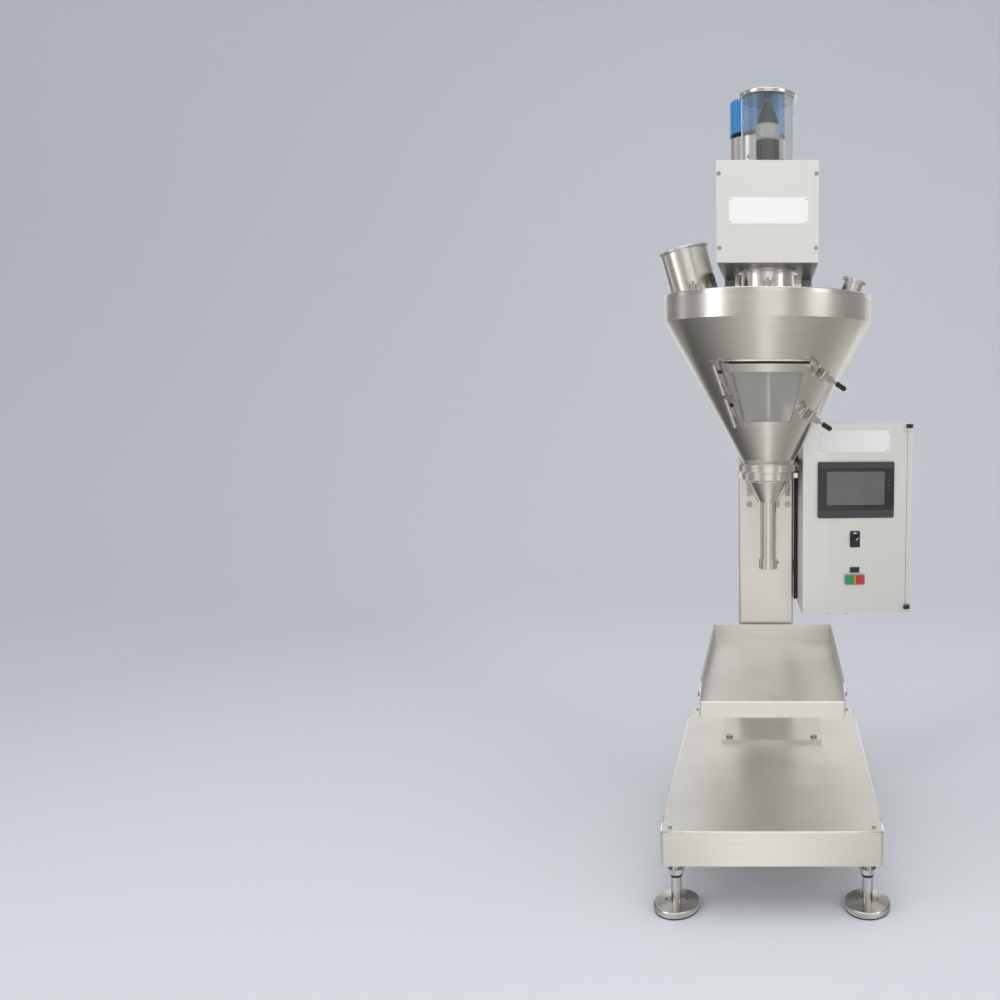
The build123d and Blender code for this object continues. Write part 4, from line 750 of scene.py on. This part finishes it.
def riveted_plate(name, rivets, centre, ways, width, height, body):
    """A bare white plate with a rivet near each corner."""
    plate(name, centre, ways, (width, height, PLATE_THICK), PLATE_BEVEL, body, PLATE_WHITE)
    right, up, out = ways
    aside = right * (width / 2 - RIVET_INSET)
    above = up * (height / 2 - RIVET_INSET)
    spots = [(centre + aside * x + above * z + out * PLATE_THICK, out) for x in (-1, 1) for z in (-1, 1)]
    domes(rivets, RIVET, spots, body, BRIGHT_STEEL)


riveted_plate("drive_box_plate", "drive_box_rivets", BOX_PLATE_PLACE, MACHINE_FACE,
              width=0.180, height=0.058, body="frame")
riveted_plate("door_plate", "door_plate_rivets", DOOR_PLATE_PLACE, DOOR_FACE,
              width=0.182, height=0.056, body="enclosure_door")

# Wing nuts round the lid's edge: a tapered hub with two rounded wings
LID_TOP = 1.395
NUT_CIRCLE = 0.238
NUT_ANGLES = (0, 135, 180, 225, 315)
NUT_SIZE = 1.2
# Sides, lower and upper radius, and length
NUT_HUB = (28, 0.0075, 0.0058, 0.011)
NUT_STUD = (20, 0.0034, 0.0030, 0.016)
WING_HALF = 0.0016
WING_BEVEL = 0.0007
WING_OUTLINE = ((0.0045, 0.003), (0.010, 0.006), (0.0135, 0.0105), (0.0142, 0.0148), (0.0125, 0.0175),
                (0.0098, 0.0172), (0.0080, 0.0140), (0.0058, 0.0095))


def wing_nut_mesh(name):
    """Hub, stud and two wings, standing on their base."""
    shape = bmesh.new()
    for sides, low, high, length in (NUT_HUB, NUT_STUD):
        cone = bmesh.ops.create_cone(shape, cap_ends=True, segments=sides,
                                     radius1=low, radius2=high, depth=length)
        bmesh.ops.translate(shape, verts=cone["verts"], vec=(0, 0, length / 2))
    for side in (-1, 1):
        ring = [shape.verts.new((side * x, -WING_HALF, z)) for x, z in WING_OUTLINE]
        grown = bmesh.ops.extrude_face_region(shape, geom=[shape.faces.new(ring)])
        moved = [part for part in grown["geom"] if isinstance(part, bmesh.types.BMVert)]
        bmesh.ops.translate(shape, verts=moved, vec=(0, 2 * WING_HALF, 0))
        edges = {edge for vertex in ring + moved for edge in vertex.link_edges}
        bmesh.ops.bevel(shape, geom=list(edges), offset=WING_BEVEL, segments=2, affect="EDGES")
    return mesh_from(name, shape)


# The pattern stands in the scene only while its tree runs
nut_pattern = new_object("wing_nut_pattern", wing_nut_mesh("wing_nut_pattern"))
nut_spots = [(from_front(angle) * NUT_CIRCLE + UP * LID_TOP, UP) for angle in NUT_ANGLES]
nuts = set_on_points("wing_nut_set", wing_nut_tree(nut_pattern), {"Nut Size": NUT_SIZE}, nut_spots,
                     "frame", BOLT_STEEL)
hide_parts("wing_nuts")
bpy.data.objects.remove(nut_pattern)

# Touch panel: a black glass front round the screen, and small keys beside it
PANEL_OUT = 0.008
GLASS_U = 0.141
GLASS_Z = 0.9105
GLASS_THICK = 0.0006
GLASS_SIZE = (0.201, 0.111)
WINDOW_SIZE = (0.155, 0.090)
WINDOW_SHIFT = (-0.001, 0.0025)
KEY = (0.0027, 0.0005)
KEYS_U = 0.2285
KEY_HEIGHTS = (0.933, 0.921, 0.909)
CORNERS = ((-0.5, -0.5), (0.5, -0.5), (0.5, 0.5), (-0.5, 0.5))


def window_plate(name, centre, ways, outer, inner, shift, thickness):
    """A flat plate with a window: outer and inner are widths and heights, and the shift is the window's."""
    right, up, out = ways
    middle = centre + right * shift[0] + up * shift[1]
    rings = []
    for (width, height), place, depth in ((outer, centre, 0.0), (outer, centre, thickness),
                                          (inner, middle, thickness), (inner, middle, 0.0)):
        rings.append([place + right * (x * width) + up * (y * height) + out * depth for x, y in CORNERS])
    return loft(name, rings, closed=True)


glass = window_plate("panel_front_glass", on_door(GLASS_U, PANEL_OUT, GLASS_Z), DOOR_FACE,
                     GLASS_SIZE, WINDOW_SIZE, WINDOW_SHIFT, GLASS_THICK)
keep("panel_front_glass", glass, "enclosure_door", PANEL_BLACK)
key_spots = [(on_door(KEYS_U, PANEL_OUT + GLASS_THICK, z), DOOR_OUT) for z in KEY_HEIGHTS]
domes("panel_keys", KEY, key_spots, "enclosure_door", PANEL_GREY)

# Selector: a pale pointer on the knob's grip, and a pale mark on its plate
CONTROLS_U = 0.140
SELECTOR_Z = 0.7755
KNOB_OUT = 0.0194
POINTER_ALONG = 0.0045
POINTER_SIZE = (0.008, 0.0016, 0.0004)
LEGEND_OUT = 0.003
LEGEND_ABOVE = 0.0165
LEGEND_SIZE = (0.009, 0.003, 0.0003)
MARK_BEVEL = 0.0001

pointing = (DOOR_RIGHT + UP).normalized()
beside = (UP - DOOR_RIGHT).normalized()
plate("selector_pointer", on_door(CONTROLS_U, KNOB_OUT, SELECTOR_Z) + pointing * POINTER_ALONG,
      (pointing, beside, DOOR_OUT), POINTER_SIZE, MARK_BEVEL, "selector", PLATE_WHITE)
plate("selector_legend", on_door(CONTROLS_U, LEGEND_OUT, SELECTOR_Z + LEGEND_ABOVE), DOOR_FACE,
      LEGEND_SIZE, MARK_BEVEL, "enclosure_door", PLATE_WHITE)

# Double button: a yellow bar between the caps
BUTTONS_Z = 0.6665
BAR_OUT = 0.009
BAR_SIZE = (0.0044, 0.0230, 0.0008)
BAR_BEVEL = 0.0003
plate("button_bar", on_door(CONTROLS_U, BAR_OUT, BUTTONS_Z), DOOR_FACE, BAR_SIZE, BAR_BEVEL,
      "enclosure_door", BUTTON_YELLOW)

# Inside the enclosure: vents and plugs on the modules, walls and screws on the terminal strip
MODULE_FACE = -0.101
PANEL_U = 0.146
PANEL_Z = 0.82775
DRIVERS_U = (-0.055, 0.055)
DRIVERS_Z = 0.110
DRIVER_SLOT = (0.056, 0.0036, 0.0008)
DRIVER_SLOT_STEP = 0.010
PLUGS_Z = DRIVERS_Z + 0.044
PLUG = (0.060, 0.016, 0.010)
PLUG_STEP = 0.010
PLUG_SCREW = (0.0026, 0.0010, 0.0012)
SUPPLIES_U = (-0.055, 0.0)
SUPPLIES_Z = -0.040
SUPPLY_SLOT = (0.042, 0.0030, 0.0008)
SUPPLY_SLOT_STEP = 0.0075
TERMINALS = 14
TERMINAL_STEP = 0.0125
TERMINALS_Z = -0.150
TERMINAL_ROW = 0.010
TERMINAL_WALL = (0.0014, 0.034, 0.003)
TERMINAL_SCREW = (0.0034, 0.0014, 0.0016)


def on_module(u, z, out=0.0):
    """A place on the modules' faces, from the middle of the mounting panel, and the way that it faces."""
    return on_door(PANEL_U + u, MODULE_FACE + out, PANEL_Z + z), DOOR_OUT


driver_slots = [on_module(u, DRIVERS_Z + DRIVER_SLOT_STEP * k) for u in DRIVERS_U for k in range(-4, 2)]
slats("driver_vents", DRIVER_SLOT, driver_slots, BLACK_PLASTIC)
driver_plugs = [on_module(u, PLUGS_Z) for u in DRIVERS_U]
slats("driver_plugs", PLUG, driver_plugs, BUTTON_GREEN)
plug_screws = [on_module(u + PLUG_STEP * k, PLUGS_Z, PLUG[2] / 2) for u in DRIVERS_U for k in range(-2, 3)]
screw_heads("driver_plug_screws", PLUG_SCREW, plug_screws, DARK_STEEL)
supply_slots = [on_module(u, SUPPLIES_Z + SUPPLY_SLOT_STEP * k) for u in SUPPLIES_U for k in range(-4, 5)]
slats("supply_vents", SUPPLY_SLOT, supply_slots, BLACK_PLASTIC)
strip_walls = [on_module(TERMINAL_STEP * (k - TERMINALS / 2), TERMINALS_Z, TERMINAL_WALL[2] / 2)
               for k in range(TERMINALS + 1)]
slats("terminal_walls", TERMINAL_WALL, strip_walls, FRAME_GREY)
strip_screws = [on_module(TERMINAL_STEP * (k + 0.5 - TERMINALS / 2), TERMINALS_Z + row)
                for k in range(TERMINALS) for row in (-TERMINAL_ROW, TERMINAL_ROW)]
screw_heads("terminal_screws", TERMINAL_SCREW, strip_screws, BRIGHT_STEEL)

# Hopper door: a black strip along its top edge as painted shade of the gap there, and black sleeves on the
# latches' levers
CONE_THROAT = 0.061
CONE_LOW = 0.987
CONE_SLOPE = 190.0 / 345.0
CONE_COS = math.cos(math.atan(CONE_SLOPE))
CONE_SIN = math.sin(math.atan(CONE_SLOPE))
DOOR_THICK = 0.007
SHADE_LINE_ANGLE = 30.6
SHADE_LINE_SECTION = ((1.2300, 0.0071), (1.2300, 0.0082), (1.2326, 0.0082), (1.2326, 0.0071))
SHADE_LINE_STEPS = 32
LATCH_HEIGHTS = {"upper": 1.206, "lower": 1.110}
LATCH_ANGLE = 31.0
LATCH_ASIDE = 0.023
LATCH_PIVOT_OUT = 0.022
LEVER_DROP = math.radians(24.0)
GRIP_OUT = 0.002
GRIP_SIDES = 24
GRIP_PROFILE = ((0.0555, 0.0040), (0.0555, 0.0056), (0.0570, 0.0062), (0.0640, 0.0061), (0.0700, 0.0059),
                (0.0790, 0.0062), (0.0855, 0.0063), (0.0880, 0.0054), (0.0888, 0.0032))


def cone_radius(z, out):
    """The radius at a height of the cone, or of a face that lies out from it."""
    return CONE_THROAT + CONE_SLOPE * (z - CONE_LOW) + out / CONE_COS


def on_cone(angle, z, out):
    """A place on the cone at an angle from the front, with its ways to the right, up the slope and out."""
    turn = math.radians(angle)
    right = Vector((math.cos(turn), math.sin(turn), 0.0))
    outwards = from_front(angle) * CONE_COS - UP * CONE_SIN
    place = from_front(angle) * cone_radius(z, out) + UP * z
    return place, right, outwards.cross(right), outwards


def latch_grip(name, height):
    """A sleeve along a latch's lever, which points to the right and a little down the slope."""
    angle = LATCH_ANGLE + math.degrees(LATCH_ASIDE / cone_radius(height, DOOR_THICK))
    pivot, right, up_slope, outwards = on_cone(angle, height, LATCH_PIVOT_OUT)
    lever = right * math.cos(LEVER_DROP) - up_slope * math.sin(LEVER_DROP)
    across = outwards.cross(lever)
    rings = [circle(pivot + lever * along + outwards * GRIP_OUT, across, outwards, radius, GRIP_SIDES)
             for along, radius in GRIP_PROFILE]
    return loft(name, rings, smooth=True)


# Painted shade: a thin black strip on the door's top edge, where the gap lies in shadow
shade_line_angles = [SHADE_LINE_ANGLE * (2 * k / SHADE_LINE_STEPS - 1) for k in range(SHADE_LINE_STEPS + 1)]
shade_line_rings = [[on_cone(angle, z, out)[0] for z, out in SHADE_LINE_SECTION] for angle in shade_line_angles]
keep("door_top_trim", loft("door_top_trim", shade_line_rings), "hopper_door", BLACK_RUBBER)
for name, height in LATCH_HEIGHTS.items():
    grip = latch_grip(f"latch_grip_{name}", height)
    keep(f"latch_grip_{name}", grip, f"latch_{name}", BLACK_RUBBER)

# Small screws on the agitator motor's sleeve and on the spout's collar
SLEEVE_CENTRE = Vector((-0.025, 0.146, 1.745))
SLEEVE_RADIUS = 0.073
SLEEVE_SCREW = (0.0042, 0.0022, 0.0019)
SLEEVE_SCREW_ANGLES = range(-62, 259, 40)
COLLAR_RADIUS = 0.024
COLLAR_SCREW = (0.0036, 0.0025, 0.0017)
COLLAR_SCREW_HEIGHT = 0.738

sleeve_ways = [from_front(angle) for angle in SLEEVE_SCREW_ANGLES]
sleeve_spots = [(SLEEVE_CENTRE + way * SLEEVE_RADIUS, way) for way in sleeve_ways]
screw_heads("sleeve_screws", SLEEVE_SCREW, sleeve_spots, DARK_STEEL)
collar_spot = (Vector((COLLAR_RADIUS, 0.0, COLLAR_SCREW_HEIGHT)), RIGHT)
screw_heads("collar_screw", COLLAR_SCREW, [collar_spot], DARK_STEEL)

# Two thin stays beside the funnel, from the clamp to the tube
STAY_RADIUS = 0.0016
STAY_LINE = ((0.0562, 0.9560), (0.0560, 0.9460), (0.0548, 0.9420), (0.0400, 0.9180), (0.0252, 0.8940))
SIDES = (("left", -1), ("right", 1))

for name, side in SIDES:
    line = [Vector((side * x, 0.0, z)) for x, z in STAY_LINE]
    stay = rod_along(f"funnel_stay_{name}", line, STAY_RADIUS)
    keep(f"funnel_stay_{name}", stay, "frame", BRIGHT_STEEL)

# Folded edge of the base pan: a slim rounded bead; its polish gives a real highlight, and its much lighter
# tint than the pan adds a painted highlight along the edge
BEAD_RADIUS = 0.0015
BEAD_HEIGHT = 0.2114
BEAD_SIDE = 0.2444
BEAD_FRONT = -0.3744
BEAD_STEPS = 8
FRONT_BEAD_HALF = 0.2435
SIDE_BEAD_ENDS = (-0.3670, 0.3820)

bead_ends = {"front": [(BASE_X + side * FRONT_BEAD_HALF, BEAD_FRONT) for side in (-1, 1)]}
for name, side in SIDES:
    bead_ends[name] = [(BASE_X + side * BEAD_SIDE, y) for y in SIDE_BEAD_ENDS]
for name, ends in bead_ends.items():
    start, end = (Vector((x, y, BEAD_HEIGHT)) for x, y in ends)
    line = [start.lerp(end, k / BEAD_STEPS) for k in range(BEAD_STEPS + 1)]
    bead = rod_along(f"pan_edge_{name}", line, BEAD_RADIUS)
    keep(f"pan_edge_{name}", bead, "frame", EDGE_HIGHLIGHT_STEEL)

# Feet: screws in the pads beside each stem, and on the stem a stepped collar with a black ring below it, the
# painted shade of a groove
PAD_SCREW = (0.0034, 0.0016, 0.0016)
PAD_SCREW_ASIDE = 0.0235
PAD_SCREW_HEIGHT = 0.0203
COLLAR_PROFILE = ((0.0122, 0.0850), (0.0160, 0.0850), (0.0172, 0.0862), (0.0172, 0.0930), (0.0192, 0.0936),
                  (0.0192, 0.0990), (0.0122, 0.0990))
GROOVE_PROFILE = ((0.0121, 0.0780), (0.0136, 0.0784), (0.0136, 0.0846), (0.0121, 0.0848))

feet = [Vector((BASE_X + side * FOOT_X, y, 0.0)) for side in (-1, 1) for y in (FOOT_FRONT, FOOT_BACK)]
pad_spots = [(foot + RIGHT * (side * PAD_SCREW_ASIDE) + UP * PAD_SCREW_HEIGHT, UP)
             for foot in feet for side in (-1, 1)]
screw_heads("pad_screws", PAD_SCREW, pad_spots, DARK_STEEL)
for number, foot in enumerate(feet, start=1):
    collar = turned_ring(f"stem_collar_{number}", foot, COLLAR_PROFILE)
    keep(f"stem_collar_{number}", collar, "frame", BRIGHT_STEEL)
    # painted shade: a thin black ring in place of the groove's shadow
    groove = turned_ring(f"stem_groove_{number}", foot, GROOVE_PROFILE)
    keep(f"stem_groove_{number}", groove, "frame", BLACK_RUBBER)

# Two dark legs under the back of the drive box
LEG_X = 0.1010
LEG_Y = 0.2050
LEG_Z = 1.4278
LEG_SIZE = (0.026, 0.0640, 0.030)
LEG_BEVEL = 0.002
for name, side in SIDES:
    plate(f"box_leg_{name}", Vector((side * LEG_X, LEG_Y, LEG_Z)), MACHINE_FACE, LEG_SIZE, LEG_BEVEL,
          "frame", DARK_STEEL)

# Painted shade under the drive box: a dark sheet round the neck, where the box's underside lies in shadow
UNDER_X = 0.114
UNDER_FRONT = 0.127
UNDER_BACK = 0.285
UNDER_HOLE = 0.0765
UNDER_LOW = 1.4600
UNDER_HIGH = 1.4609
UNDER_STEPS = 64
NEARLY_ZERO = 1e-6


def rim_reach(turn):
    """How far the shade sheet's edge lies from the neck's axis, at an angle."""
    x, y = math.cos(turn), math.sin(turn)
    ahead = UNDER_BACK if y > 0 else UNDER_FRONT
    return min(UNDER_X / max(abs(x), NEARLY_ZERO), ahead / max(abs(y), NEARLY_ZERO))


corner_turns = [math.atan2(y, x) % FULL_TURN for x in (-UNDER_X, UNDER_X) for y in (-UNDER_FRONT, UNDER_BACK)]
turns = sorted([FULL_TURN * k / UNDER_STEPS for k in range(UNDER_STEPS)] + corner_turns)
hole = [(turn, UNDER_HOLE) for turn in turns]
rim = [(turn, rim_reach(turn)) for turn in turns]
under_rings = []
for edge, level in ((hole, UNDER_LOW), (rim, UNDER_LOW), (rim, UNDER_HIGH), (hole, UNDER_HIGH)):
    under_rings.append([Vector((reach * math.cos(turn), reach * math.sin(turn), level))
                        for turn, reach in edge])
underside_shade_plate = loft("box_under_plate", under_rings, closed=True)
keep("box_under_plate", underside_shade_plate, "frame", DARK_STEEL)

# Painted shade: a black strip filling the gap between the column and the enclosure, where the enclosure's
# side lies in deep shadow
STRIP_PLACE = Vector((0.0757, 0.2920, 0.8280))
STRIP_SIZE = (0.0086, 0.495, 0.0240)
STRIP_BEVEL = 0.0008
plate("gap_strip", STRIP_PLACE, MACHINE_FACE, STRIP_SIZE, STRIP_BEVEL, "frame", BLACK_RUBBER)
